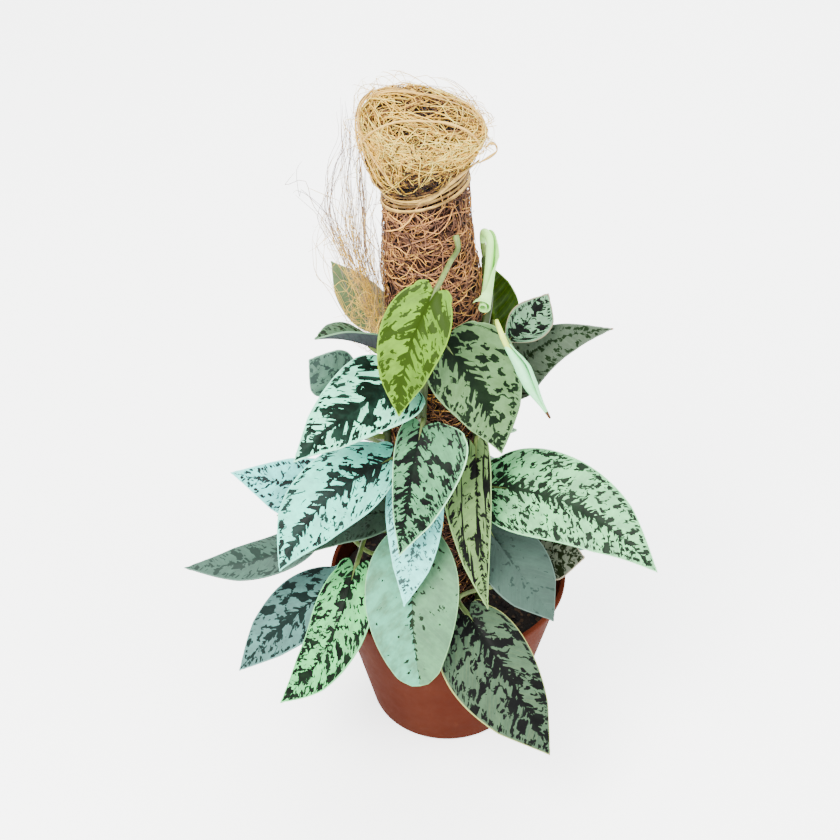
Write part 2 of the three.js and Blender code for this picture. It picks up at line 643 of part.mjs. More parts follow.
// The petiole leaves the stem outward and comes in under the blade along its midrib, sunk into it.
function makePetiole(row, frame) {
  const [start, outward] = petioleStart(row);
  const sunk = -BLADE.thick / 2 - PETIOLE.below * PETIOLE.radius;
  const rib = midribAt(row, frame, 0);
  const meet = rib.place.clone().addScaledVector(rib.up, sunk);
  const inner = midribAt(row, frame, PETIOLE.underBlade);
  const end = inner.place.clone().addScaledVector(inner.up, sunk + PETIOLE.endRise);
  const gap = start.distanceTo(meet);
  const first = start.clone().addScaledVector(outward, gap * PETIOLE.leaveShare);
  first.z += gap * PETIOLE.leaveShare * row.lift;
  const before = meet.clone().addScaledVector(rib.tangent, -gap * PETIOLE.meetShare);
  return rod([start, first, before, meet, end], PETIOLE.radius, PETIOLE.sides, PETIOLE.steps);
}

function makeLeaf(row) {
  const frame = bladeFrame(row);
  return makeBlade(row, frame).add(makePetiole(row, frame));
}

// A rolled leaf's section is a spiral, so its free edge stands out along the roll.
function makeRolled({ spine, radii }) {
  const { sides, steps } = ROLL;
  const places = spine.map((point) => new THREE.Vector3(...point));
  const curve = new THREE.CatmullRomCurve3(places, false, "centripetal");
  const frames = curve.computeFrenetFrames(steps);
  const rings = [];
  for (let i = 0; i <= steps; i += 1) {
    const t = i / steps;
    const ring = [];
    for (let k = 0; k < sides; k += 1) {
      const turn = (2 * Math.PI * k) / sides;
      const radius = tableAt(radii, t) * (ROLL.innermost + (ROLL.opening * k) / (sides - 1));
      ring.push(curve.getPointAt(t)
        .addScaledVector(frames.normals[i], radius * Math.cos(turn))
        .addScaledVector(frames.binormals[i], radius * Math.sin(turn)));
    }
    rings.push(ring);
  }
  const corners = [];
  for (let i = 0; i < steps; i += 1) {
    for (let k = 0; k < sides; k += 1) {
      const next = (k + 1) % sides;
      corners.push(rings[i][k], rings[i][next], rings[i + 1][next]);
      corners.push(rings[i][k], rings[i + 1][next], rings[i + 1][k]);
    }
  }
  for (let k = 1; k + 1 < sides; k += 1) {
    corners.push(rings[0][0], rings[0][k + 1], rings[0][k]);
    corners.push(rings[steps][0], rings[steps][k], rings[steps][k + 1]);
  }
  return solidOfCorners(corners);
}

// Assembly

const plant = new THREE.Group();
const stems = Object.keys(VINES);

plant.add(part("pot", makePot(), COLOURS.pot, ROUGHNESS.pot));
plant.add(part("soil", makeSoil(stems.map(stemHole)), COLOURS.soil, ROUGHNESS.soil));

const pole = new THREE.Group();
const stake = axisRod(STAKE.radius, STAKE.bottom, STAKE.top, STAKE.sides);
pole.add(part("pole_stake", stake, COLOURS.stake, ROUGHNESS.stake));
pole.add(part("coir_sleeve", makeSleeve(), COLOURS.coir, ROUGHNESS.coir));
pole.add(part("coir_head", makeHead(), COLOURS.straw, ROUGHNESS.coir));
pole.add(part("coir_tie", makeTie(), COLOURS.raffia, ROUGHNESS.raffia));
pole.add(part("coir_wisp", makeWisp(), COLOURS.straw, ROUGHNESS.coir));
plant.add(pole);

const stemGroup = new THREE.Group();
for (const name of stems) {
  stemGroup.add(part(name, makeVine(name), COLOURS.stem, ROUGHNESS.stem));
}
plant.add(stemGroup);

const leafGroup = new THREE.Group();
for (const row of leafTable) {
  leafGroup.add(part(row.name, makeLeaf(row), COLOURS[row.tone], ROUGHNESS.leaf));
}
for (const [name, roll] of Object.entries(ROLLED)) {
  leafGroup.add(part(name, makeRolled(roll), COLOURS.pale, ROUGHNESS.leaf));
}
plant.add(leafGroup);

export default plant;
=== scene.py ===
"""Visual model of a potted silver lady satin pothos that climbs a coir pole.

Metres, +Z up. The origin is the middle of the pot's foot, and the plant's front looks to -Y.
Sizes of the plant are written in millimetres and turned into metres by MM.
"""

import functools
import logging
import math
import random
from collections.abc import Sequence
from dataclasses import dataclass, field
from enum import Enum

import bpy
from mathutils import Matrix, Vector, noise


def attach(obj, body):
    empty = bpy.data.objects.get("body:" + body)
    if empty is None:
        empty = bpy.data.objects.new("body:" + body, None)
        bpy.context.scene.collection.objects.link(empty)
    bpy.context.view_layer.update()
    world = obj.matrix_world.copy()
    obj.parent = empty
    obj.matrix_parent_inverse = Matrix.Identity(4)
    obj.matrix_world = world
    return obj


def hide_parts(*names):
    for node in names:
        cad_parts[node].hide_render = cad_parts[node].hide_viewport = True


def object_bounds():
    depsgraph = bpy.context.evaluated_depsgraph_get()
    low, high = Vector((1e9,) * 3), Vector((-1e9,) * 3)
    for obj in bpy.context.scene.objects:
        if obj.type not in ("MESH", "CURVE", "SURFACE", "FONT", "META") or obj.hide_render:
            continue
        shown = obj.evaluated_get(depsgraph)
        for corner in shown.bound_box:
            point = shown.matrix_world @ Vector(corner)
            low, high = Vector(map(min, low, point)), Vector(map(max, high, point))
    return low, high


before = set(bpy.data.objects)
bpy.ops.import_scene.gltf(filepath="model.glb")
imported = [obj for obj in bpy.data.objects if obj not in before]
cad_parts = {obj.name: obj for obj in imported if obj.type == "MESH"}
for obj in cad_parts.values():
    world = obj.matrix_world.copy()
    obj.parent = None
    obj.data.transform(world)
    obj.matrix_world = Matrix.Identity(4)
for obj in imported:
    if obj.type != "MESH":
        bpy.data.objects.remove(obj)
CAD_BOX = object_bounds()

log = logging.getLogger("pothos")

MM = 0.001
DEG = math.pi / 180
ROOT = "root"

Colour = tuple[float, float, float]
Socket = bpy.types.NodeSocket
Table = tuple[tuple[float, float], ...]


class Slot(Enum):
    """The record's material slots."""

    POT = "pot"
    SOIL = "soil"
    COIR = "coir"
    STRAW = "straw"
    RAFFIA = "raffia"
    STEM = "stem"
    SILVER = "leaf_silver"
    BLUE = "leaf_blue"
    YOUNG = "leaf_young"
    PLAIN = "leaf_plain"
    YELLOW = "leaf_yellow"
    PALE = "leaf_pale"


# Small helpers


def table_at(rows: Table, key: float) -> float:
    """Reads a table of (key, value) rows between its rows.

    Args:
        rows: rows in rising order of key.
        key: where to read.

    Returns:
        The value there, held at both ends.
    """
    if key <= rows[0][0]:
        return rows[0][1]
    for (k0, v0), (k1, v1) in zip(rows, rows[1:]):
        if key <= k1:
            return v0 + (v1 - v0) * (key - k0) / (k1 - k0)
    return rows[-1][1]


def held(value: float, low: float = 0, high: float = 1) -> float:
    """Keeps a value between two others."""
    return min(max(value, low), high)


def strayed(draw: random.Random, x: float, y: float, z: float) -> Vector:
    """Draws a vector round nought, with its spread along each axis."""
    return Vector((draw.gauss(0, x), draw.gauss(0, y), draw.gauss(0, z)))


def facing(azimuth: float) -> Vector:
    """Gives the level direction at an azimuth, in degrees round from the front."""
    return Vector((math.sin(azimuth * DEG), -math.cos(azimuth * DEG), 0))


def rgb(code: str) -> Colour:
    """Turns a colour as painters write it into the renderer's linear one.

    Args:
        code: six hexadecimal digits, such as "8a3f28".

    Returns:
        Linear red, green and blue.
    """
    parts = [int(code[i:i + 2], 16) / 255 for i in (0, 2, 4)]
    return tuple(p / 12.92 if p <= 0.04045 else ((p + 0.055) / 1.055) ** 2.4 for p in parts)


def smooth_path(points: Sequence[Vector], steps: int) -> list[Vector]:
    """Runs a smooth line through points, with no overshoot where they stand unevenly.

    Args:
        points: the places it passes, at least two.
        steps: how many stretches it has in all.

    Returns:
        steps + 1 places along the line.
    """
    ends = [points[0] * 2 - points[1], *points, points[-1] * 2 - points[-2]]
    knots = [0.0]
    for a, b in zip(ends, ends[1:]):
        knots.append(knots[-1] + max((b - a).length, 1e-9) ** 0.5)
    line = []
    for i in range(steps + 1):
        t = knots[1] + (knots[-2] - knots[1]) * i / steps
        j = min(max(k for k in range(1, len(points)) if knots[k] <= t + 1e-12), len(points) - 1)
        t0, t1, t2, t3 = knots[j - 1:j + 3]
        p0, p1, p2, p3 = ends[j - 1:j + 3]
        a1 = p0 * ((t1 - t) / (t1 - t0)) + p1 * ((t - t0) / (t1 - t0))
        a2 = p1 * ((t2 - t) / (t2 - t1)) + p2 * ((t - t1) / (t2 - t1))
        a3 = p2 * ((t3 - t) / (t3 - t2)) + p3 * ((t - t2) / (t3 - t2))
        b1 = a1 * ((t2 - t) / (t2 - t0)) + a2 * ((t - t0) / (t2 - t0))
        b2 = a2 * ((t3 - t) / (t3 - t1)) + a3 * ((t - t1) / (t3 - t1))
        line.append(b1 * ((t2 - t) / (t2 - t1)) + b2 * ((t - t1) / (t2 - t1)))
    return line


def only(*objects: bpy.types.Object) -> None:
    """Selects some objects alone and makes the first one active.

    Args:
        objects: what is selected.
    """
    if bpy.context.object and bpy.context.object.mode != "OBJECT":
        bpy.ops.object.mode_set(mode="OBJECT")
    bpy.ops.object.select_all(action="DESELECT")
    for piece in objects:
        piece.select_set(True)
    bpy.context.view_layer.objects.active = objects[0]


def fresh(name: str) -> bpy.types.Object:
    """Names the object that an operator has just added.

    Args:
        name: its name, which its mesh gets too.

    Returns:
        The object.
    """
    piece = bpy.context.object
    piece.name = name
    piece.data.name = name
    return piece


def joined(name: str, pieces: Sequence[bpy.types.Object]) -> bpy.types.Object:
    """Joins meshes into the first of them.

    Args:
        name: what the joined piece is called.
        pieces: the meshes; materials are kept.

    Returns:
        The joined piece.
    """
    only(*pieces)
    if len(pieces) > 1:
        bpy.ops.object.join()
    return fresh(name)


def finish_modifier(piece: bpy.types.Object, kind: str, **settings: object) -> None:
    """Adds a modifier and applies it at once.

    Args:
        piece: the mesh.
        kind: Blender's name for the modifier.
        settings: its values.
    """
    only(piece)
    modifier = piece.modifiers.new(kind.lower(), kind)
    for key, value in settings.items():
        setattr(modifier, key, value)
    bpy.ops.object.modifier_apply(modifier=modifier.name)


def smooth_shade(piece: bpy.types.Object, angle: float = 40) -> None:
    """Shades a piece smooth, but keeps edges sharper than the angle, in degrees."""
    only(piece)
    bpy.ops.object.shade_smooth_by_angle(angle=angle * DEG)


def noted(piece: bpy.types.Object, name: str, values: Sequence[float]) -> None:
    """Writes one vector for each corner of a piece, as an attribute that its material reads."""
    piece.data.attributes.new(name, "FLOAT_VECTOR", "POINT").data.foreach_set("vector", values)


def dressed(piece: bpy.types.Object, materials: Sequence[bpy.types.Material], worn: int = 0) -> None:
    """Gives a piece its materials and puts one of them on all its faces.

    Args:
        piece: the mesh.
        materials: its materials, in order.
        worn: the number of the one that its faces wear.
    """
    for material in materials:
        piece.data.materials.append(material)
    for polygon in piece.data.polygons:
        polygon.material_index = worn


def linked(name: str, data: bpy.types.ID) -> bpy.types.Object:
    """Adds an object to the scene.

    Args:
        name: its name.
        data: its mesh, curve, lamp or camera.

    Returns:
        The object.
    """
    made = bpy.data.objects.new(name, data)
    bpy.context.scene.collection.objects.link(made)
    return made


def cleaned(piece: bpy.types.Object, gap: float) -> None:
    """Merges the corners of a closed mesh and turns its faces outward.

    Args:
        piece: the mesh.
        gap: corners closer than this are merged, in millimetres.
    """
    only(piece)
    bpy.ops.object.mode_set(mode="EDIT")
    bpy.ops.mesh.select_all(action="SELECT")
    bpy.ops.mesh.remove_doubles(threshold=gap * MM)
    bpy.ops.mesh.normals_make_consistent(inside=False)
    bpy.ops.object.mode_set(mode="OBJECT")


def mesh_piece(name: str, corners: Sequence, faces: Sequence) -> bpy.types.Object:
    """Makes a mesh object from corners and faces.

    Args:
        name: its name.
        corners: places in metres.
        faces: rows of corner numbers, anticlockwise from outside.

    Returns:
        The object, in the scene.
    """
    mesh = bpy.data.meshes.new(name)
    mesh.from_pydata(corners, [], faces)
    return linked(name, mesh)


def tube(name: str, path: Sequence[Vector], radii: Sequence[float], sides: int) -> bpy.types.Object:
    """Makes a closed round tube along a path.

    Args:
        name: its name.
        path: places along its middle, in metres.
        radii: its radius at each place.
        sides: corners round its section, four at least.

    Returns:
        The tube as a mesh.
    """
    curve = bpy.data.curves.new(name, "CURVE")
    curve.dimensions = "3D"
    curve.bevel_depth = 1.0
    curve.bevel_resolution = max(sides // 2 - 2, 0)
    curve.use_fill_caps = True
    spline = curve.splines.new("POLY")
    spline.points.add(len(path) - 1)
    for point, place, radius in zip(spline.points, path, radii):
        point.co = (*place, 1)
        point.radius = radius
    only(linked(name, curve))
    bpy.ops.object.convert(target="MESH")
    piece = fresh(name)
    cleaned(piece, 0.01)
    return piece


def placed(piece: bpy.types.Object, slot: Slot, *nodes: str) -> None:
    """Hangs a finished piece on the root body and hides the CAD nodes that it stands for.

    Args:
        piece: the finished piece.
        slot: the record's material slot; not used.
        nodes: CAD nodes that it replaces.
    """
    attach(piece, ROOT)
    if nodes:
        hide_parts(*nodes)
    mesh = piece.data
    mesh.calc_loop_triangles()
    log.info("%s: %d triangles", piece.name, len(mesh.loop_triangles))


# Shader building


class Wiring:
    """Adds nodes to one tree and wires them, so that a material reads like a sum.

    A value given to a method may be a number, a vector or another node's output.
    """

    def __init__(self, tree: bpy.types.NodeTree) -> None:
        """Keeps the tree that nodes are added to."""
        self.tree = tree

    def feed(self, socket: Socket, value: object) -> None:
        """Sets a socket to a plain value, or wires another node's output to it.

        Args:
            socket: the input.
            value: the value or the output; None leaves the input as it is.
        """
        if isinstance(value, bpy.types.NodeSocket):
            self.tree.links.new(value, socket)
        elif value is not None:
            if socket.type == "RGBA" and len(value) == 3:
                value = (*value, 1.0)
            socket.default_value = value

    def node(self, kind: str, inputs: dict | None = None, **settings: object) -> bpy.types.Node:
        """Adds a node.

        Args:
            kind: Blender's node type, without its ShaderNode prefix.
            inputs: values by the name or number of the input.
            settings: the node's own settings.

        Returns:
            The node.
        """
        made = self.tree.nodes.new("ShaderNode" + kind)
        for key, value in settings.items():
            setattr(made, key, value)
        for key, value in (inputs or {}).items():
            self.feed(made.inputs[key], value)
        return made

    def math(self, operation: str, a: object, b: object = None, clamp: bool = False) -> Socket:
        """Works out one number from one or two others, by a Math node."""
        return self.node("Math", {0: a, 1: b}, operation=operation, use_clamp=clamp).outputs[0]

    def total(self, *values: object) -> Socket:
        """Adds values up."""
        return functools.reduce(lambda a, b: self.math("ADD", a, b), values)

    def product(self, *values: object) -> Socket:
        """Multiplies values."""
        return functools.reduce(lambda a, b: self.math("MULTIPLY", a, b), values)

    def highest(self, *values: object) -> Socket:
        """Gives the highest of some values."""
        return functools.reduce(lambda a, b: self.math("MAXIMUM", a, b), values)

    def range(self, value: object, low: float, high: float, to_low: float = 0.0, to_high: float = 1.0,
              smooth: bool = True) -> Socket:
        """Maps a value from one range to another, held at both ends.

        Args:
            value: what is mapped.
            low: the value that gives to_low.
            high: the value that gives to_high.
            to_low: the result at low.
            to_high: the result at high.
            smooth: eases both ends.

        Returns:
            The mapped value.
        """
        kind = "SMOOTHSTEP" if smooth else "LINEAR"
        made = self.node("MapRange", {0: value, 1: low, 2: high, 3: to_low, 4: to_high},
                         interpolation_type=kind)
        return made.outputs[0]

    def noise(self, vector: object, scale: object, detail: float = 2.0, rough: float = 0.5,
              warp: float = 0.0) -> Socket:
        """Gives cloudy noise from 0 to 1 at a place.

        Args:
            vector: the place.
            scale: how fine the clouds are.
            detail: how many finer layers are added.
            rough: how strong the finer layers are.
            warp: how far the noise pushes itself about.

        Returns:
            The noise.
        """
        made = self.node("TexNoise", {"Vector": vector, "Scale": scale, "Detail": detail,
                                      "Roughness": rough, "Distortion": warp})
        return made.outputs["Fac"]

    def vector(self, x: object, y: object, z: object) -> Socket:
        """Puts three numbers together as a vector."""
        return self.node("CombineXYZ", {0: x, 1: y, 2: z}).outputs[0]

    def parts(self, vector: object) -> list[Socket]:
        """Takes a vector apart."""
        return list(self.node("SeparateXYZ", {0: vector}).outputs)

    def shifted(self, vector: object, by: tuple[float, float, float]) -> Socket:
        """Moves a place."""
        return self.node("VectorMath", {0: vector, 1: by}, operation="ADD").outputs[0]

    def stretched(self, vector: object, by: tuple[float, float, float]) -> Socket:
        """Multiplies a place's three numbers, so that a pattern read there is drawn out."""
        return self.node("VectorMath", {0: vector, 1: by}, operation="MULTIPLY").outputs[0]

    def between(self, share: object, a: object, b: object) -> Socket:
        """Gives the place that lies a share of the way from one place to another."""
        return self.node("Mix", {0: share, 4: a, 5: b}, data_type="VECTOR").outputs[1]

    def mix(self, share: object, a: object, b: object) -> Socket:
        """Mixes two colours by a share."""
        return self.node("Mix", {0: share, 6: a, 7: b}, data_type="RGBA").outputs[2]

    def ramp(self, value: object, stops: Sequence[tuple[float, str]]) -> Socket:
        """Gives the colour that a value has on a ramp.

        Args:
            value: the place on the ramp, 0 to 1.
            stops: (place, colour) rows.

        Returns:
            The colour.
        """
        made = self.node("ValToRGB", {0: value})
        elements = made.color_ramp.elements
        while len(elements) < len(stops):
            elements.new(1.0)
        for element, (place, colour) in zip(elements, stops):
            element.position = place
            element.color = (*rgb(colour), 1)
        return made.outputs[0]

    def bump(self, height: object, strength: float, distance: float) -> Socket:
        """Gives the normal of a surface raised by a height, in metres at height 1."""
        made = self.node("Bump", {"Height": height, "Strength": strength, "Distance": distance})
        return made.outputs[0]

    def attribute(self, name: str) -> Socket:
        """Gives a piece's own attribute as a vector."""
        return self.node("Attribute", attribute_name=name).outputs["Vector"]

    def place(self) -> Socket:
        """Gives the place on the piece in metres."""
        return self.node("TexCoord").outputs["Object"]

    def group(self, group: bpy.types.NodeTree, **inputs: object) -> bpy.types.NodeOutputs:
        """Adds a node group.

        Args:
            group: the group.
            inputs: values by the name of the input.

        Returns:
            Its outputs.
        """
        made = self.node("Group", node_tree=group)
        for key, value in inputs.items():
            self.feed(made.inputs[key], value)
        return made.outputs


def new_material(name: str, roughness: float,
                 specular: float) -> tuple[bpy.types.Material, Wiring, bpy.types.Node]:
    """Makes a material with a Principled surface.

    Args:
        name: the material's name.
        roughness: its roughness.
        specular: its specular level.

    Returns:
        The material, its wiring and its surface node.
    """
    material = bpy.data.materials.new(name)
    material.use_nodes = True
    surface = material.node_tree.nodes["Principled BSDF"]
    surface.inputs["Roughness"].default_value = roughness
    surface.inputs["Specular IOR Level"].default_value = specular
    return material, Wiring(material.node_tree), surface


FLOAT = "NodeSocketFloat"
VECTOR = "NodeSocketVector"


class GroupWiring(Wiring):
    """Wires a node group that several materials share."""

    def __init__(self, name: str, inputs: dict[str, str], outputs: Sequence[str]) -> None:
        """Starts the group.

        Args:
            name: the group's name.
            inputs: each input's name with its kind.
            outputs: the names of its outputs, which are numbers.
        """
        super().__init__(bpy.data.node_groups.new(name, "ShaderNodeTree"))
        for key, kind in inputs.items():
            self.tree.interface.new_socket(name=key, in_out="INPUT", socket_type=kind)
        for key in outputs:
            self.tree.interface.new_socket(name=key, in_out="OUTPUT", socket_type=FLOAT)
        self.given = self.tree.nodes.new("NodeGroupInput").outputs
        self.leaving = self.tree.nodes.new("NodeGroupOutput").inputs

    def give(self, name: str, value: Socket) -> None:
        """Puts a value out under a name."""
        self.feed(self.leaving[name], value)


class BladeMarkings(GroupWiring):
    """The dark markings of a satin pothos blade.

    Place is (vein coordinate, distance from the midrib with its side's sign, run along the midrib) in mm. A
    place's vein coordinate is the same all along one side vein, so what is drawn by it runs along the veins.
    Edge is (share across the half, distance to the margin in mm, share along the blade). Band is the half
    width of the band on the midrib in mm, and Size scales the markings. Blotch, Stroke, Chain, Specks and
    Stripe say how much there is of each kind, from 0 up, and Ragged how toothed they are.
    """

    INPUTS = {"Place": VECTOR, "Edge": VECTOR, "Seed": FLOAT, "Size": FLOAT, "Band": FLOAT, "Blotch": FLOAT,
              "Stroke": FLOAT, "Chain": FLOAT, "Specks": FLOAT, "Stripe": FLOAT, "Ragged": FLOAT}
    OUTPUTS = ("Marks", "Margin", "Clouds", "Streaks", "Veins", "Half")
    CELLS = 1.5
    LEAN = 0.42
    WARP = 6.0

    def __init__(self) -> None:
        """Wires every kind of marking and puts them out as one mask, beside the blade's other masks."""
        super().__init__("blade markings", self.INPUTS, self.OUTPUTS)
        self.vein, self.side, run = self.parts(self.given["Place"])
        self.across, self.rim, self.along = self.parts(self.given["Edge"])
        self.hand = self.range(self.side, -0.05, 0.05, -1.0, 1.0)
        self.apart = self.product(self.given["Seed"], 31.7)
        leaning = self.total(self.product(self.vein, self.LEAN), self.product(run, 1 - self.LEAN))
        self.flat = self.vector(self.total(leaning, self.apart), self.total(self.side, self.apart),
                                self.apart)
        push = self.node("TexNoise", {"Vector": self.flat, "Scale": self.scaled(0.36), "Detail": 1.5})
        push = self.shifted(push.outputs["Color"], (-0.5, -0.5, -0.5))
        pushed = self.shifted(self.flat, self.stretched(push, (self.WARP, self.WARP, 0.0)))
        cells = self.node("TexVoronoi", {"Vector": pushed, "Scale": self.CELLS, "Randomness": 0.9})
        self.toothed = self.between(self.given["Ragged"], pushed, cells.outputs["Position"])
        marks = self.highest(self.band(), self.blotches(), self.dashes(), self.hooks(), self.chain(),
                             self.specks(), self.stripes())
        self.give("Marks", self.product(marks, self.range(self.rim, 0.45, 0.65)))
        self.give("Margin", self.range(self.rim, 0.6, 0.2))
        self.give("Clouds", self.noise(self.stretched(self.flat, (0.16, 0.12, 1.0)), 1.0, 3.0, 0.6))
        by_vein = self.vector(self.vein, self.product(self.side, 0.12), self.apart)
        self.give("Streaks", self.noise(by_vein, 0.9, 2.0))
        self.give("Veins", self.range(self.math("PINGPONG", self.vein, 1.5), 0.0, 0.5, 1.0, 0.0))
        # Half is 0 on the left half and 1 on the right; LeafFinish uses it to paint the left half lighter, as
        # painted light.
        self.give("Half", self.range(self.hand, -0.3, 0.3))

    def scaled(self, scale: float) -> Socket:
        """A noise scale made finer or coarser by Size."""
        return self.math("DIVIDE", scale, self.given["Size"])

    def scattered(self, scale: float, drawn: tuple[float, float, float], share: object, least: float,
                  most: float) -> Socket:
        """Strews one lump in some of the cells of a grid without order.

        Args:
            scale: cells per millimetre.
            drawn: how the grid is stretched.
            share: how many of the cells have a lump.
            least: the smallest lump's radius as a share of a cell.
            most: the largest one's.

        Returns:
            1 inside a lump and 0 outside.
        """
        grid = self.node("TexVoronoi", {"Vector": self.stretched(self.toothed, drawn),
                                        "Scale": self.scaled(scale), "Randomness": 0.85})
        lot, size, _rest = self.parts(grid.outputs["Color"])
        inside = self.math("LESS_THAN", grid.outputs["Distance"], self.range(size, 0.0, 1.0, least, most))
        return self.product(inside, self.math("LESS_THAN", lot, share))

    def band(self) -> Socket:
        """The band on the midrib, whose branches run out along the side veins.

        Returns:
            1 in the band and 0 outside it.
        """
        combed = self.vector(self.total(self.product(self.vein, 0.5), self.apart),
                             self.product(self.side, 0.1), self.apart)
        teeth = self.noise(combed, self.scaled(1.0), 1.5, 0.6)
        swell = self.noise(self.vector(self.product(self.along, 3.2), self.apart, self.hand), 1.0, 1.0)
        taper = self.math("POWER", self.math("SUBTRACT", 1.02, self.along, clamp=True), 0.75)
        half = self.product(self.given["Band"], taper, self.range(self.along, -0.03, 0.08, 0.25, 1.0))
        reach = self.product(half, self.range(teeth, 0.4, 0.62, 0.35, 2.7),
                             self.range(swell, 0.3, 0.7, 0.55, 1.4))
        off_rib = self.math("ABSOLUTE", self.math("SUBTRACT", self.parts(self.toothed)[1], self.apart))
        near_rib = self.total(self.product(off_rib, 0.6), self.product(self.math("ABSOLUTE", self.side), 0.4))
        line = self.math("LESS_THAN", self.math("ABSOLUTE", self.side), self.product(half, 0.16))
        return self.highest(self.math("LESS_THAN", near_rib, reach), line)

    def blotches(self) -> Socket:
        """Large lumps, more of them near the midrib and near the margin.

        Returns:
            1 inside a lump and 0 outside.
        """
        near = self.range(self.across, 0.1, 0.45, 0.14, 0.0)
        outer = self.range(self.across, 0.62, 0.85, 0.0, 0.12)
        share = self.total(self.product(self.given["Blotch"], 0.9), near, outer)
        share = self.product(share, self.math("GREATER_THAN", self.given["Blotch"], 0.0))
        return self.scattered(0.18, (1.1, 0.8, 1.0), share, 0.2, 0.48)

    def dashes(self) -> Socket:
        """Short dashes that lean the way the side veins run."""
        return self.scattered(0.28, (1.4, 0.8, 1.0), self.given["Stroke"], 0.24, 0.42)

    def hooks(self) -> Socket:
        """Bent strokes and hooks, cut from the middle height of a broad noise.

        Returns:
            1 in a stroke and 0 outside.
        """
        broad = self.noise(self.shifted(self.toothed, (11.0, 5.0, 0.0)), self.scaled(0.16), 0.5)
        crest = self.math("ABSOLUTE", self.math("SUBTRACT", broad, 0.5))
        where = self.noise(self.shifted(self.flat, (19.0, 7.0, 3.0)), self.scaled(0.26), 1.0)
        chosen = self.math("GREATER_THAN", self.total(where, self.product(self.given["Stroke"], 0.14)), 0.6)
        return self.product(self.math("LESS_THAN", crest, 0.046), chosen)

    def chain(self) -> Socket:
        """Short dashes in a row a little way in from the margin.

        Returns:
            1 in a dash and 0 outside.
        """
        wander = self.product(self.math("SUBTRACT", self.noise(self.toothed, 1.1, 1.0), 0.5), 2.4)
        inward = self.total(self.rim, wander)
        ring = self.product(self.range(inward, 1.2, 1.5), self.range(inward, 3.1, 2.7))
        beads = self.noise(self.vector(self.total(self.product(self.vein, 0.5), self.apart),
                                       self.product(self.hand, 9.0), self.apart), 1.0, 1.0)
        chosen = self.math("GREATER_THAN", self.total(beads, self.product(self.given["Chain"], 0.2)), 0.6)
        return self.math("GREATER_THAN", self.product(ring, chosen), 0.5)

    def specks(self) -> Socket:
        """Small scattered specks."""
        return self.scattered(0.55, (1.2, 1.0, 1.0), self.given["Specks"], 0.18, 0.3)

    def stripes(self) -> Socket:
        """Streaks that run the length of the blade.

        Returns:
            1 in a streak and 0 outside.
        """
        drawn = self.vector(self.total(self.product(self.side, 0.5), self.apart),
                            self.product(self.along, 2.6), self.apart)
        streaks = self.noise(drawn, 1.0, 2.0, 0.6)
        return self.math("GREATER_THAN", self.total(streaks, self.product(self.given["Stripe"], 0.2)), 0.68)


@functools.cache
def blade_markings() -> bpy.types.NodeTree:
    """Gives the group of blade markings."""
    return BladeMarkings().tree


@functools.cache
def fine_grain() -> bpy.types.NodeTree:
    """Gives the group of fine grain, which breaks up a flat colour.

    Returns:
        The group: Place and Scale in, Value and a Height for bump out.
    """
    w = GroupWiring("fine grain", {"Place": VECTOR, "Scale": FLOAT}, ("Value", "Height"))
    place, scale = w.given["Place"], w.given["Scale"]
    broad = w.noise(place, scale, 3.0, 0.6)
    fine = w.noise(place, w.product(scale, 7.0), 2.0, 0.7)
    w.give("Value", broad)
    w.give("Height", w.product(w.total(broad, fine), 0.5))
    return w.tree


# Finishes


@dataclass(frozen=True)
class LeafFinish:
    """The upper side of a blade. left is the ground of its left half, where that differs; it is painted
    lighter than the right half, as painted light on the half that faces the key lamp.
    """

    ground: str
    cloud: str
    dark: str
    margin: str
    left: str = ""
    slot: Slot = Slot.SILVER
    size: float = 1.0
    band: float = 1.5
    blotch: float = 0.35
    stroke: float = 0.3
    chain: float = 0.3
    specks: float = 0.12
    stripe: float = -1.0
    ragged: float = 0.85
    edge: float = 0.4
    brown_tip: float = 0.0
    roughness: float = 0.46

    def material(self, name: str, seed: int) -> bpy.types.Material:
        """Builds the material.

        Args:
            name: the material's name.
            seed: moves the markings, so that no two blades are marked alike.

        Returns:
            The material.
        """
        material, w, surface = new_material(name, self.roughness, 0.05)
        marks = w.group(blade_markings(), Place=w.attribute("leaf_place"), Edge=w.attribute("leaf_edge"),
                        Seed=float(seed), Size=self.size, Band=self.band, Blotch=self.blotch,
                        Stroke=self.stroke, Chain=self.chain, Specks=self.specks, Stripe=self.stripe,
                        Ragged=self.ragged)
        grain = w.group(fine_grain(), Place=w.place(), Scale=420.0)
        tone = rgb(self.ground)
        # Painted light: the left half's ground is lighter, as on the half of the fold that faces the key
        # lamp.
        if self.left:
            tone = w.mix(marks["Half"], rgb(self.left), tone)
        tone = w.mix(w.range(marks["Clouds"], 0.34, 0.68, 0.0, 0.8), tone, rgb(self.cloud))
        tone = w.mix(w.range(marks["Streaks"], 0.45, 0.75, 0.0, 0.04), tone, rgb(self.margin))
        tone = w.mix(w.product(marks["Veins"], 0.03), tone, rgb(self.margin))
        tone = w.mix(w.range(grain["Value"], 0.3, 0.7, 0.0, 0.14), tone, rgb(self.dark))
        deep = w.mix(w.range(marks["Clouds"], 0.35, 0.7, 0.0, 0.035), rgb(self.dark), rgb(self.cloud))
        tone = w.mix(marks["Marks"], tone, deep)
        tone = w.mix(w.product(marks["Margin"], self.edge), tone, rgb(self.margin))
        if self.brown_tip:
            along = w.parts(w.attribute("leaf_edge"))[2]
            tone = w.mix(w.range(along, 1 - self.brown_tip, 1.0), tone, rgb("7a5230"))
        w.feed(surface.inputs["Base Color"], tone)
        height = w.total(w.product(marks["Veins"], -0.35), w.product(grain["Height"], 0.5))
        w.feed(surface.inputs["Normal"], w.bump(height, 0.35, 0.12 * MM))
        return material


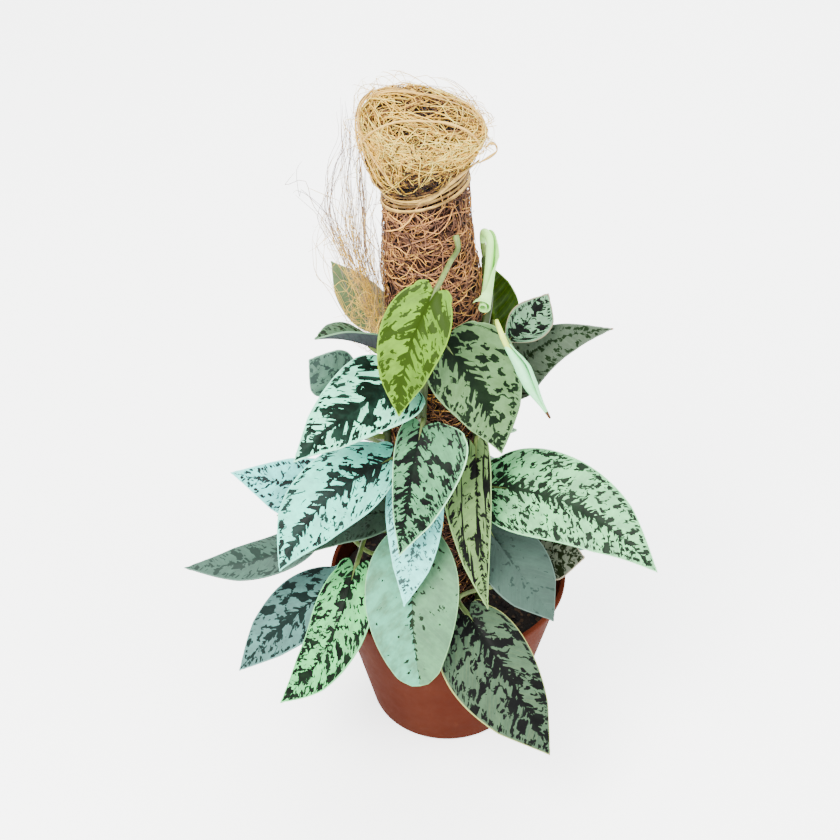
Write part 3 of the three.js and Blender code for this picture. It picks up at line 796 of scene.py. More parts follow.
@dataclass(frozen=True)
class UndersideFinish:
    """The under side of a blade: plain, with its veins showing."""

    tone: str
    vein: str
    roughness: float = 0.55

    def material(self, name: str) -> bpy.types.Material:
        """Builds the material.

        Args:
            name: the material's name.

        Returns:
            The material.
        """
        material, w, surface = new_material(name, self.roughness, 0.25)
        vein, side, _along = w.parts(w.attribute("leaf_place"))
        stripe = w.range(w.math("PINGPONG", vein, 1.6), 0.0, 0.6, 0.6, 0.0)
        rib = w.range(w.math("ABSOLUTE", side), 0.4, 1.0, 0.9, 0.0)
        lines = w.highest(stripe, rib)
        grain = w.group(fine_grain(), Place=w.place(), Scale=300.0)
        darker = tuple(c * 0.75 for c in rgb(self.tone))
        tone = w.mix(w.range(grain["Value"], 0.3, 0.7), rgb(self.tone), darker)
        w.feed(surface.inputs["Base Color"], w.mix(lines, tone, rgb(self.vein)))
        w.feed(surface.inputs["Normal"], w.bump(w.total(lines, grain["Height"]), 0.4, 0.15 * MM))
        return material


@dataclass(frozen=True)
class StalkFinish:
    """Petioles, climbing stems and young rolls: two tones in clouds, with fine lengthwise streaks."""

    tone: str
    pale: str
    streak: float = 0.3
    stretch: float = 0.25

    def material(self, name: str) -> bpy.types.Material:
        """Builds the material.

        Args:
            name: the material's name.

        Returns:
            The material.
        """
        material, w, surface = new_material(name, 0.46, 0.25)
        grain = w.group(fine_grain(), Place=w.place(), Scale=90.0)
        fine = w.group(fine_grain(), Place=w.stretched(w.place(), (1.0, 1.0, self.stretch)), Scale=800.0)
        tone = w.mix(w.range(grain["Value"], 0.35, 0.65), rgb(self.tone), rgb(self.pale))
        darker = tuple(c * 0.5 for c in rgb(self.tone))
        tone = w.mix(w.range(fine["Value"], 0.45, 0.7, 0.0, self.streak), tone, darker)
        w.feed(surface.inputs["Base Color"], tone)
        w.feed(surface.inputs["Normal"], w.bump(fine["Height"], 0.3, 0.1 * MM))
        return material


@dataclass(frozen=True)
class FibreFinish:
    """Plant fibre whose tone changes from strand to strand."""

    stops: tuple[tuple[float, str], ...]
    roughness: float = 0.6
    dull_ends: float = 0.4

    def material(self, name: str) -> bpy.types.Material:
        """Builds the material; each strand carries its tone in the attribute "fibre".

        Args:
            name: the material's name.

        Returns:
            The material.
        """
        material, w, surface = new_material(name, self.roughness, 0.25)
        tone, along, _lot = w.parts(w.attribute("fibre"))
        grain = w.group(fine_grain(), Place=w.place(), Scale=260.0)
        shift = w.range(grain["Value"], 0.3, 0.7, -0.14, 0.14)
        colour = w.ramp(w.math("ADD", tone, shift, clamp=True), self.stops)
        ends = w.range(w.math("PINGPONG", along, 0.5), 0.0, 0.16, self.dull_ends, 0.0)
        w.feed(surface.inputs["Base Color"], w.mix(ends, colour, rgb(self.stops[0][1])))
        w.feed(surface.inputs["Normal"], w.bump(grain["Height"], 0.4, 0.1 * MM))
        return material


@dataclass(frozen=True)
class MattedFinish:
    """The matted mass that the strands lie on, near black: its own dark tone with painted shade for the gaps
    between strands.
    """

    deep: str
    tone: str

    def material(self, name: str) -> bpy.types.Material:
        """Builds the material.

        Args:
            name: the material's name.

        Returns:
            The material.
        """
        material, w, surface = new_material(name, 0.9, 0.1)
        mat = w.noise(w.stretched(w.place(), (1.0, 1.0, 0.45)), 900.0, 4.0, 0.65, 1.5)
        w.feed(surface.inputs["Base Color"], w.mix(w.range(mat, 0.42, 0.66), rgb(self.deep), rgb(self.tone)))
        w.feed(surface.inputs["Normal"], w.bump(mat, 1.0, 0.8 * MM))
        return material


@dataclass(frozen=True)
class PotFinish:
    """Matte moulded plastic, a little dusty towards its foot."""

    tone: str
    worn: str
    dust: str

    def material(self, name: str) -> bpy.types.Material:
        """Builds the material.

        Args:
            name: the material's name.

        Returns:
            The material.
        """
        material, w, surface = new_material(name, 0.68, 0.04)
        place = w.place()
        broad = w.group(fine_grain(), Place=place, Scale=22.0)
        fine = w.group(fine_grain(), Place=place, Scale=1500.0)
        tone = w.mix(w.range(broad["Value"], 0.35, 0.65), rgb(self.tone), rgb(self.worn))
        scuffs = w.noise(w.stretched(place, (1.0, 1.0, 0.2)), 160.0, 4.0, 0.7)
        tone = w.mix(w.range(scuffs, 0.6, 0.75, 0.0, 0.25), tone, rgb(self.dust))
        foot = w.range(w.parts(place)[2], 14 * MM, 0.0, 0.0, 0.35)
        tone = w.mix(w.product(foot, broad["Value"]), tone, rgb(self.dust))
        w.feed(surface.inputs["Base Color"], tone)
        w.feed(surface.inputs["Roughness"], w.range(broad["Height"], 0.3, 0.7, 0.62, 0.75))
        w.feed(surface.inputs["Normal"], w.bump(fine["Height"], 0.25, 0.08 * MM))
        return material


@dataclass(frozen=True)
class SoilFinish:
    """Moist dark potting mix with brown bits of bark and fibre."""

    deep: str
    tone: str
    bits: str

    def material(self, name: str) -> bpy.types.Material:
        """Builds the material.

        Args:
            name: the material's name.

        Returns:
            The material.
        """
        material, w, surface = new_material(name, 0.85, 0.2)
        place = w.place()
        grain = w.group(fine_grain(), Place=place, Scale=240.0)
        lots = w.node("TexVoronoi", {"Vector": place, "Scale": 520.0})
        lot = w.parts(lots.outputs["Color"])[1]
        tone = w.mix(w.range(grain["Value"], 0.3, 0.7), rgb(self.deep), rgb(self.tone))
        tone = w.mix(w.range(lot, 0.82, 0.86, 0.0, 0.8), tone, rgb(self.bits))
        w.feed(surface.inputs["Base Color"], tone)
        w.feed(surface.inputs["Roughness"], w.range(grain["Value"], 0.35, 0.6, 0.75, 0.98))
        w.feed(surface.inputs["Normal"], w.bump(grain["Height"], 0.9, 0.6 * MM))
        return material


SILVER = LeafFinish("5a9565", "4e7750", "071c0c", "89c189",
                    stroke=0.5, chain=0.4)
BLUE = LeafFinish("44665a", "3a5648", "0f211b", "659079",
                  slot=Slot.BLUE, stroke=0.45)
UNDER_GREY = UndersideFinish("3e5145", "55705a")
UNDER_PURPLE = UndersideFinish("3d3840", "29242c")
UNDER_DEEP = UndersideFinish("2c4707", "405c0b", 0.4)
PETIOLE_GREEN = StalkFinish("495b2c", "6a7d3e")
STEM_GREEN = StalkFinish("293917", "3f4c26")
ROOT_BROWN = StalkFinish("301d0c", "533f26")
CELADON = StalkFinish("a7e97b", "ade387", 0.2, 0.1)
MINT = StalkFinish("84dc94", "8fe1a5", 0.12, 0.1)
CREAM_STALK = StalkFinish("abc544", "d0e367", 0.15)
DRIED = StalkFinish("3b230a", "56391a")
COIR = FibreFinish(((0.0, "150707"), (0.28, "452513"), (0.58, "805942"), (0.85, "ca8b4a"), (1.0, "ecb356")))
STRAW = FibreFinish(((0.0, "120707"), (0.2, "412410"), (0.42, "885f31"), (0.64, "e2ae34"), (1.0, "e2cc6a")))
RAFFIA = FibreFinish(((0.0, "1a0d07"), (0.5, "664a22"), (1.0, "cca453")), 0.5, 0.15)
GREY_HAIR = FibreFinish(((0.0, "655b66"), (0.35, "8a7368"), (0.7, "dcaf39"), (1.0, "e3bf52")))
# The matted cores' near-black tones are painted shade in the gaps between strands, over the coir's own dark
# brown.
COIR_MAT_SHADE = MattedFinish("120707", "311d10")
STRAW_MAT_SHADE = MattedFinish("120707", "2c1a0f")
POT_BROWN = PotFinish("491d0d", "441809", "582e1c")
SOIL_DARK = SoilFinish("0a0707", "1c1510", "3c2c1e")


# Fibres


# Where a short hair is bent, as shares of its length
HAIR_SHARES = (0, 0.17, 0.34, 0.5, 0.67, 0.84, 1)


@dataclass
class FibreBundle:
    """Many thin fibres gathered into one mesh, each a three-sided rod that tapers at both ends."""

    corners: list[Vector] = field(default_factory=list)
    faces: list[tuple[int, ...]] = field(default_factory=list)
    tones: list[float] = field(default_factory=list)
    sides: int = 3

    def lay(self, path: Sequence[Vector], radius: float, tone: float, tip: float = 0.45) -> None:
        """Adds one fibre.

        Args:
            path: places along it.
            radius: its radius in the middle.
            tone: 0 for the darkest strand and 1 for the palest.
            tip: its radius at both ends, as a share of that in the middle.
        """
        last = len(path) - 1
        first = len(self.corners)
        side = (path[1] - path[0]).orthogonal().normalized()
        for i, place in enumerate(path):
            tangent = (path[min(i + 1, last)] - path[max(i - 1, 0)]).normalized()
            side = (side - tangent * side.dot(tangent)).normalized()
            other = tangent.cross(side)
            along = i / last
            thick = radius * (tip + (1 - tip) * math.sin(math.pi * along) ** 0.5)
            for k in range(self.sides):
                turn = 2 * math.pi * k / self.sides
                self.corners.append(place + (side * math.cos(turn) + other * math.sin(turn)) * thick)
                self.tones.extend((tone, along, 0.0))
        for i in range(last):
            for k in range(self.sides):
                low, high = first + i * self.sides, first + (i + 1) * self.sides
                after = (k + 1) % self.sides
                self.faces.append((low + k, low + after, high + after, high + k))
        self.faces.append(tuple(first + k for k in reversed(range(self.sides))))
        self.faces.append(tuple(first + last * self.sides + k for k in range(self.sides)))

    def piece(self, name: str, material: bpy.types.Material) -> bpy.types.Object:
        """Makes the mesh, with each strand's tone in the attribute "fibre".

        Args:
            name: its name.
            material: what it is dressed in.

        Returns:
            The mesh object.
        """
        made = mesh_piece(name, self.corners, self.faces)
        noted(made, "fibre", self.tones)
        made.data.materials.append(material)
        only(made)
        bpy.ops.object.shade_smooth()
        return made


# The pole


@dataclass(frozen=True)
class PoleLine:
    """The pole's leaning axis and the coir's outline round it, in millimetres."""

    lean: Table = ((0, -4), (80, -5), (240, -7.8), (262, -8.8), (281, -10.6), (300, -11.6), (316, -12.3),
                   (331, -13.6))
    sleeve: Table = ((0, 21), (80, 21.3), (240, 21.5), (274, 21.3), (284, 20), (297, 18.7), (321, 17.6))
    head: Table = ((18.2, 321), (21, 324.5), (23.4, 330), (25.2, 335.5), (26, 340.5), (25, 345.2),
                   (20.3, 349.2), (11.5, 351.2), (0, 351.8))
    neck_rise: float = 4.5
    neck_radius: float = 18
    neck_share: Table = ((296, 0), (314, 1), (324, 1), (338, 0), (350, -0.75))

    def at(self, azimuth: float, radius: float, z: float) -> Vector:
        """Gives a place round the axis, in metres.

        Args:
            azimuth: degrees round from the front; 90 is the right hand side.
            radius: millimetres from the axis.
            z: height in millimetres.

        Returns:
            The place.
        """
        turn = azimuth * DEG
        return Vector((table_at(self.lean, z) + radius * math.sin(turn), -radius * math.cos(turn), z)) * MM

    def on_coir(self, azimuth: float, radius: float, z: float) -> Vector:
        """Gives the same place where the coir has it, which stands aslant round the neck.

        Args:
            azimuth: degrees round from the front.
            radius: millimetres from the axis.
            z: height in millimetres, before the slant.

        Returns:
            The place, in metres.
        """
        place = self.at(azimuth, radius, z)
        off_axis = place.x / MM - table_at(self.lean, z)
        place.z += self.neck_rise * off_axis * table_at(self.neck_share, z) / self.neck_radius * MM
        return place

    def sleeve_radius(self, z: float) -> float:
        """Radius of the coir below the neck."""
        return table_at(self.sleeve, z)

    def head_outline(self, share: float) -> tuple[float, float]:
        """Reads the head's outline.

        Args:
            share: how far along it, from the neck to the top.

        Returns:
            The radius and the height there.
        """
        along = held(share) * (len(self.head) - 1)
        row = min(int(along), len(self.head) - 2)
        beyond = along - row
        (r0, z0), (r1, z1) = self.head[row], self.head[row + 1]
        return r0 + (r1 - r0) * beyond, z0 + (z1 - z0) * beyond


POLE = PoleLine()


def turned(name: str, profile: Sequence[tuple[float, float]], steps: int) -> bpy.types.Object:
    """Turns a profile round the upright axis into a closed body.

    Args:
        name: its name.
        profile: (radius, height) rows in metres, from the axis back to the axis.
        steps: faces round it.

    Returns:
        The body, with its faces outward.
    """
    corners = [(radius, 0.0, z) for radius, z in profile]
    piece = mesh_piece(name, corners, [])
    piece.data.edges.add(len(corners) - 1)
    for i, edge in enumerate(piece.data.edges):
        edge.vertices = (i, i + 1)
    only(piece)
    bpy.ops.object.mode_set(mode="EDIT")
    bpy.ops.mesh.select_all(action="SELECT")
    bpy.ops.mesh.spin(steps=steps, angle=2 * math.pi, center=(0, 0, 0), axis=(0, 0, 1))
    cleaned(piece, 0.005)
    return piece


def rounded(corner: tuple[float, float], start: tuple[float, float], end: tuple[float, float],
            steps: int = 4) -> list[tuple[float, float]]:
    """Rounds a corner of a profile.

    Args:
        corner: the sharp corner.
        start: where the rounding starts.
        end: where it ends.
        steps: stretches in it.

    Returns:
        Profile rows from start to end.
    """
    rows = []
    for i in range(steps + 1):
        t = i / steps
        rows.append(tuple((1 - t) ** 2 * a + 2 * t * (1 - t) * c + t * t * b
                          for a, c, b in zip(start, corner, end)))
    return rows


# Pot and soil


@dataclass
class NurseryPot:
    """The moulded pot, in millimetres."""

    height: float = 88
    rim_radius: float = 60
    foot_radius: float = 39.5
    wall: float = 1.6
    floor: float = 2
    rim_height: float = 3
    lip: float = 0.8
    hollow_radius: float = 18
    hollow_rise: float = 0.6
    foot_edge: float = 2.2
    drain_count: int = 4
    drain_radius: float = 4
    drain_ring: float = 25
    around: int = 128

    def outer(self, z: float) -> float:
        """Outer radius of the wall at a height."""
        return self.foot_radius + (self.rim_radius - self.foot_radius) * z / self.height

    def profile(self) -> list[tuple[float, float]]:
        """Draws the wall's section.

        Returns:
            Rows from the foot's middle, up the wall, over the rolled rim and back inside.
        """
        under_rim = self.height - self.rim_height
        lip_radius = self.rim_radius + self.lip
        inside = self.rim_radius - self.wall
        rows = [(0, self.hollow_rise), (self.hollow_radius, self.hollow_rise), (self.hollow_radius + 1, 0)]
        rows += rounded((self.foot_radius, 0), (self.foot_radius - self.foot_edge, 0),
                        (self.outer(self.foot_edge), self.foot_edge))
        rows += [(self.outer(under_rim), under_rim)]
        rows += rounded((lip_radius, under_rim + 0.2), (self.outer(under_rim) + 0.3, under_rim + 0.1),
                        (lip_radius, under_rim + 0.9), 3)
        rows += rounded((lip_radius, self.height), (lip_radius, self.height - 0.7),
                        (lip_radius - 0.7, self.height), 3)
        rows += rounded((inside, self.height), (inside + 0.6, self.height), (inside, self.height - 0.6), 3)
        rows += [(self.outer(self.floor) - self.wall, self.floor), (0, self.floor)]
        return rows

    def build(self) -> None:
        """Turns the pot, drills its drain holes and dresses it."""
        pot = turned("pot_body", [(r * MM, z * MM) for r, z in self.profile()], self.around)
        drills = []
        for i in range(self.drain_count):
            angle = (i + 0.5) * 2 * math.pi / self.drain_count
            place = (self.drain_ring * math.cos(angle) * MM, self.drain_ring * math.sin(angle) * MM, 0)
            bpy.ops.object.select_all(action="DESELECT")
            bpy.ops.mesh.primitive_cylinder_add(vertices=32, radius=self.drain_radius * MM,
                                                depth=4 * self.floor * MM, location=place)
            drills.append(fresh("drill"))
        drill = joined("drill", drills)
        finish_modifier(pot, "BOOLEAN", object=drill, operation="DIFFERENCE", solver="EXACT")
        bpy.data.objects.remove(drill)
        pot.data.materials.append(POT_BROWN.material("terracotta_plastic"))
        smooth_shade(pot, 32)
        placed(pot, Slot.POT, "pot")


@dataclass
class PottingMix:
    """The soil, in millimetres: a mounded crumbly top with loose bits on it."""

    level: float = 78
    mound: float = 2.4
    bottom: float = 2.35
    gap: float = 0.7
    rings: int = 34
    around: int = 110
    bits: int = 420
    clear_of_pole: float = 23
    seed: int = 4
    pot: NurseryPot = field(default_factory=NurseryPot)

    def inner(self, z: float) -> float:
        """Radius of the soil at a height."""
        return self.pot.outer(z) - self.pot.wall - self.gap

    def top(self, x: float, y: float) -> float:
        """Gives the height of the soil's top, all in millimetres.

        Args:
            x: place across.
            y: place in depth.

        Returns:
            The height.
        """
        r = math.hypot(x, y) / self.pot.rim_radius
        lumps = noise.noise(Vector((x * 0.13, y * 0.13, 1.0))) * 1.4
        crumbs = noise.noise(Vector((x * 0.45, y * 0.45, 5.0))) * 0.9
        grit = noise.noise(Vector((x * 1.3, y * 1.3, 9.0))) * 0.45
        return self.level + self.mound * (1 - r * r) + lumps + crumbs + grit

    def build(self) -> None:
        """Turns the soil's body, roughens its top and scatters bits of bark over it."""
        edge = self.inner(self.level - 2)
        profile = [(0, self.bottom), (self.inner(self.bottom), self.bottom)]
        profile += [(edge * (1 - i / self.rings), self.level) for i in range(self.rings + 1)]
        body = turned("soil_mix", [(r * MM, z * MM) for r, z in profile], self.around)
        for vertex in body.data.vertices:
            if vertex.co.z > (self.level - 0.5) * MM:
                vertex.co.z = self.top(vertex.co.x / MM, vertex.co.y / MM) * MM
        draw = random.Random(self.seed)
        pieces = [body]
        bpy.ops.object.select_all(action="DESELECT")
        bpy.ops.mesh.primitive_ico_sphere_add(subdivisions=1, radius=MM)
        bit = fresh("soil_bit")
        for _ in range(self.bits):
            angle, reach = draw.uniform(0, 2 * math.pi), edge * 0.96 * math.sqrt(draw.random())
            x, y = reach * math.cos(angle), reach * math.sin(angle)
            if math.hypot(x - table_at(POLE.lean, self.level), y) < self.clear_of_pole:
                continue
            copy = linked("soil_bit", bit.data.copy())
            long, wide, high = draw.uniform(0.8, 2.6), draw.uniform(0.6, 1.2), draw.uniform(0.3, 0.8)
            turn = draw.uniform(0, math.pi)
            for vertex in copy.data.vertices:
                p = vertex.co
                px, py = p.x * long * draw.uniform(0.8, 1.2), p.y * wide * draw.uniform(0.8, 1.2)
                vertex.co = Vector((px * math.cos(turn) - py * math.sin(turn) + x * MM,
                                    px * math.sin(turn) + py * math.cos(turn) + y * MM,
                                    p.z * high + (self.top(x, y) + 0.1) * MM))
            pieces.append(copy)
        bpy.data.objects.remove(bit)
        soil = joined("soil_mix", pieces)
        soil.data.materials.append(SOIL_DARK.material("potting_mix"))
        smooth_shade(soil, 35)
        placed(soil, Slot.SOIL, "soil")


# Coir pole


@dataclass
class CoirPole:
    """The coir below the tie: a matted core under a net of wandering strands, in millimetres.

    The net is paler above pale_above and darker below dark_below. Wound strands start between wound_from and
    wound_to, and loose hairs between hairs_from and hairs_to.
    """

    bottom: float = 12
    top: float = 320.5
    bare_from: float = 70
    strands: int = 3500
    pale_above: float = 262
    dark_below: float = 235
    wound: int = 90
    wound_from: float = 190
    wound_to: float = 316
    hairs: int = 210
    hairs_from: float = 110
    hairs_to: float = 314
    levels: int = 150
    around: int = 96
    seed: int = 11

    def core(self) -> None:
        """Builds the matted core: a lumpy sleeve on the leaning axis."""
        levels, around = self.levels, self.around
        corners, faces = [], []
        for i in range(levels + 1):
            z = self.bottom + (self.top - self.bottom) * i / levels
            for k in range(around):
                turn = 360 * k / around
                flat = POLE.on_coir(turn, POLE.sleeve_radius(z), z)
                lumps = noise.noise(flat / MM * 0.12) * 0.8 + noise.noise(flat / MM * 0.5) * 0.6
                corners.append(POLE.on_coir(turn, POLE.sleeve_radius(z) - 1.2 + lumps, z))
        for i in range(levels):
            for k in range(around):
                low, high, after = i * around, (i + 1) * around, (k + 1) % around
                faces.append((low + k, low + after, high + after, high + k))
        faces.append(tuple(reversed(range(around))))
        faces.append(tuple(levels * around + k for k in range(around)))
        core = mesh_piece("coir_core", corners, faces)
        # The core's near-black tone is painted shade in the gaps between the strands.
        core.data.materials.append(COIR_MAT_SHADE.material("coir_matted_shade"))
        smooth_shade(core, 60)
        placed(core, Slot.COIR, "coir_sleeve", "pole_stake")

    def strand(self, draw: random.Random, length: float, bend: float, steps: int,
               low: float, high: float, level: bool = False) -> list[Vector]:
        """Lets one strand wander over the sleeve.

        Args:
            draw: the seeded draw.
            length: its length.
            bend: how far its heading changes at each step, in degrees.
            steps: stretches in it.
            low: the lowest height that it may start at.
            high: the highest.
            level: keeps it near level, as a strand wound round the pole is.

        Returns:
            Places along it, in metres.
        """
        azimuth, z = draw.uniform(0, 360), draw.uniform(low, high)
        heading = draw.uniform(-35, 35) if level else draw.uniform(-90, 90)
        turning = draw.gauss(0, bend)
        lift = draw.uniform(-0.6, 1.1)
        path, step = [], length / steps
        for i in range(steps + 1):
            share = i / steps
            dive = 0.9 * (2 * abs(share - 0.5)) ** 4
            radius = POLE.sleeve_radius(z) + lift - dive + 0.35 * math.sin(9 * share + azimuth)
            path.append(POLE.on_coir(azimuth, radius, z))
            azimuth += step * math.cos(heading * DEG) / POLE.sleeve_radius(z) / DEG
            z = held(z + step * math.sin(heading * DEG), self.bare_from, self.top)
            heading += turning + draw.gauss(0, bend)
        return path

    def build(self) -> None:
        """Builds the core, the net of strands, the paler strands wound round it and the loose hairs."""
        self.core()
        draw = random.Random(self.seed)
        bundle = FibreBundle()
        for _ in range(self.strands):
            path = self.strand(draw, draw.uniform(10, 36), 19, 7, self.bare_from, self.top)
            height = path[0].z / MM
            paler = 0.1 * (height > self.pale_above) - 0.1 * (height < self.dark_below)
            tone = draw.gauss(0.45, 0.26) + paler
            bundle.lay(path, draw.uniform(0.12, 0.28) * MM, held(tone, 0, 0.98))
        for _ in range(self.wound):
            path = self.strand(draw, draw.uniform(40, 95), 5, 14, self.wound_from, self.wound_to, level=True)
            bundle.lay(path, draw.uniform(0.22, 0.46) * MM, draw.uniform(0.62, 1.0))
        for _ in range(self.hairs):
            azimuth, z = draw.uniform(0, 360), draw.uniform(self.hairs_from, self.hairs_to)
            radius = POLE.sleeve_radius(z)
            swing, climb, out = draw.uniform(-30, 30), draw.uniform(-9, 12), draw.uniform(1.2, 5.5)
            path = [POLE.on_coir(azimuth + swing * s, radius - 0.6 + out * math.sin(2.4 * s), z + climb * s)
                    for s in HAIR_SHARES]
            bundle.lay(path, draw.uniform(0.09, 0.17) * MM, draw.uniform(0.45, 1.0), tip=0.3)
        strands = bundle.piece("coir_strands", COIR.material("coir_fibre"))
        placed(strands, Slot.COIR)


class CurlKind(Enum):
    """How a fibre of the head lies: (widest loop, narrowest loop, least sweep, greatest sweep)."""

    WRAP = (1.55, 1.15, 0.9, 2.6)
    CURL = (0.5, 0.09, 2.2, 5.6)
    BOW = (1.1, 0.4, 0.8, 2.2)
    LOOP = (0.5, 0.14, 2.2, 5.2)


@dataclass
class CoirHead:
    """The straw-coloured mop above the tie, in millimetres.

    widest_turn is how far round from its top it reaches, in radians. The hollow is the part at its lower
    front, under its widest place, where the strands are darkened as painted shade; it starts below
    hollow_top, and frizz_room is how far the frizz may stand over the solid.
    """

    wraps: int = 150
    bows: int = 380
    curls: int = 900
    loops: int = 330
    frizz: int = 300
    seed: int = 23
    widest_turn: float = 2.35
    hollow_top: float = 342
    hollow_height: float = 11
    frizz_room: float = 6

    def surface(self, direction: Vector, lift: float) -> Vector:
        """Gives the place on the head in a direction from its middle.

        Args:
            direction: a unit vector; +Z is the top.
            lift: millimetres off the surface.

        Returns:
            The place in metres.
        """
        fall = math.acos(held(direction.z, -1))
        share = 1 - min(fall / self.widest_turn, 1.0)
        radius, z = POLE.head_outline(share)
        azimuth = math.atan2(direction.x, -direction.y) / DEG
        out = math.sin(min(fall, math.pi / 2))
        return POLE.on_coir(azimuth, radius + lift * out, z + lift * math.cos(fall))

    def hollow(self, place: Vector) -> float:
        """Tells how far a place lies in the hollow, where strands are darkened as painted shade.

        Args:
            place: a place on the head, in metres.

        Returns:
            0 outside it, and 1 in its darkest part.
        """
        x, y, z = place / MM
        low = held((self.hollow_top - z) / self.hollow_height)
        front = held((-y - 4) / 12) * max(1 - abs(x + 12) / 30, 0)
        return low * (0.25 + 0.75 * front)

    def core(self) -> None:
        """Builds the matted dome that the curls lie on."""
        bpy.ops.object.select_all(action="DESELECT")
        bpy.ops.mesh.primitive_uv_sphere_add(segments=72, ring_count=48, radius=1)
        core = fresh("coir_head_core")
        for vertex in core.data.vertices:
            way = vertex.co.normalized()
            vertex.co = self.surface(way, -2.1 + 1.1 * noise.noise(way * 6) + 0.6 * noise.noise(way * 19))
        # The dome's near-black tone is painted shade in the gaps between the curls.
        core.data.materials.append(STRAW_MAT_SHADE.material("straw_matted_shade"))
        smooth_shade(core, 60)
        placed(core, Slot.STRAW, "coir_head")

    def curl(self, draw: random.Random, kind: CurlKind) -> tuple[list[Vector], float]:
        """Draws one fibre: a wavering part of a circle laid on the dome.

        Args:
            draw: the seeded draw.
            kind: how it lies.

        Returns:
            Places along it and its lift off the dome in millimetres.
        """
        wide, narrow, least, most = kind.value
        upright = 3.0 if kind is CurlKind.WRAP else 0.0
        pole = Vector((draw.gauss(0, 1), draw.gauss(0, 1), draw.gauss(upright, 0.9))).normalized()
        u = pole.orthogonal().normalized()
        v = pole.cross(u)
        if kind is CurlKind.LOOP:
            pole = Vector((draw.gauss(0.1, 0.62), -1, draw.gauss(0.2, 0.2))).normalized()
            u = Vector((pole.y, -pole.x, 0)).normalized() * 0.4
            v = Vector((0, 0, 1.3))
        opening = draw.uniform(narrow, wide)
        start, sweep = draw.uniform(0, 2 * math.pi), draw.uniform(least, most)
        lift = draw.uniform(0.8, 2.0) if kind is CurlKind.LOOP else draw.uniform(-1.3, 1.3)
        drift = strayed(draw, 1, 1, 1) * 0.12
        steps, path = 8, []
        for i in range(steps + 1):
            s = i / steps
            angle = start + sweep * s
            way = pole * math.cos(opening) + (u * math.cos(angle) + v * math.sin(angle)) * math.sin(opening)
            way = (way + drift * math.sin(5.5 * s + start) + drift.cross(way) * math.sin(9 * s)).normalized()
            dive = 1.2 * (2 * abs(s - 0.5)) ** 4
            path.append(self.surface(way, lift - dive + 0.4 * math.sin(6 * s + start)))
        return path, lift

    def build(self) -> None:
        """Builds the dome, its fibres and the frizz that stands off it."""
        self.core()
        draw = random.Random(self.seed)
        bundle = FibreBundle()
        for kind, count in ((CurlKind.WRAP, self.wraps), (CurlKind.BOW, self.bows),
                            (CurlKind.CURL, self.curls), (CurlKind.LOOP, self.loops)):
            for _ in range(count):
                path, lift = self.curl(draw, kind)
                # Strands lying lower on the dome are darkened as painted shade between strands, and those in
                # the hollow as painted shade under the head's front.
                tone = draw.gauss(0.36, 0.22) + 0.33 * lift - 0.85 * self.hollow(path[len(path) // 2])
                thick = draw.uniform(0.13, 0.28) + 0.12 * (kind is CurlKind.WRAP) * draw.random()
                bundle.lay(path, thick * MM, held(tone))
        for _ in range(self.frizz):
            way = Vector((draw.gauss(0, 1), draw.gauss(0, 1), draw.uniform(-0.1, 1.2))).normalized()
            drift = strayed(draw, 0.5, 0.5, 0.35)
            reach, bow = draw.uniform(1.5, 8), draw.uniform(1.2, 2.8)
            path = [self.surface((way + drift * s).normalized(), reach * math.sin(bow * s))
                    for s in HAIR_SHARES]
            if max(p.z for p in path) > CAD_BOX[1].z + self.frizz_room * MM:
                continue
            bundle.lay(path, draw.uniform(0.08, 0.18) * MM, draw.uniform(0.4, 1.0), tip=0.3)
        curls = bundle.piece("coir_head_curls", STRAW.material("straw_fibre"))
        placed(curls, Slot.STRAW)


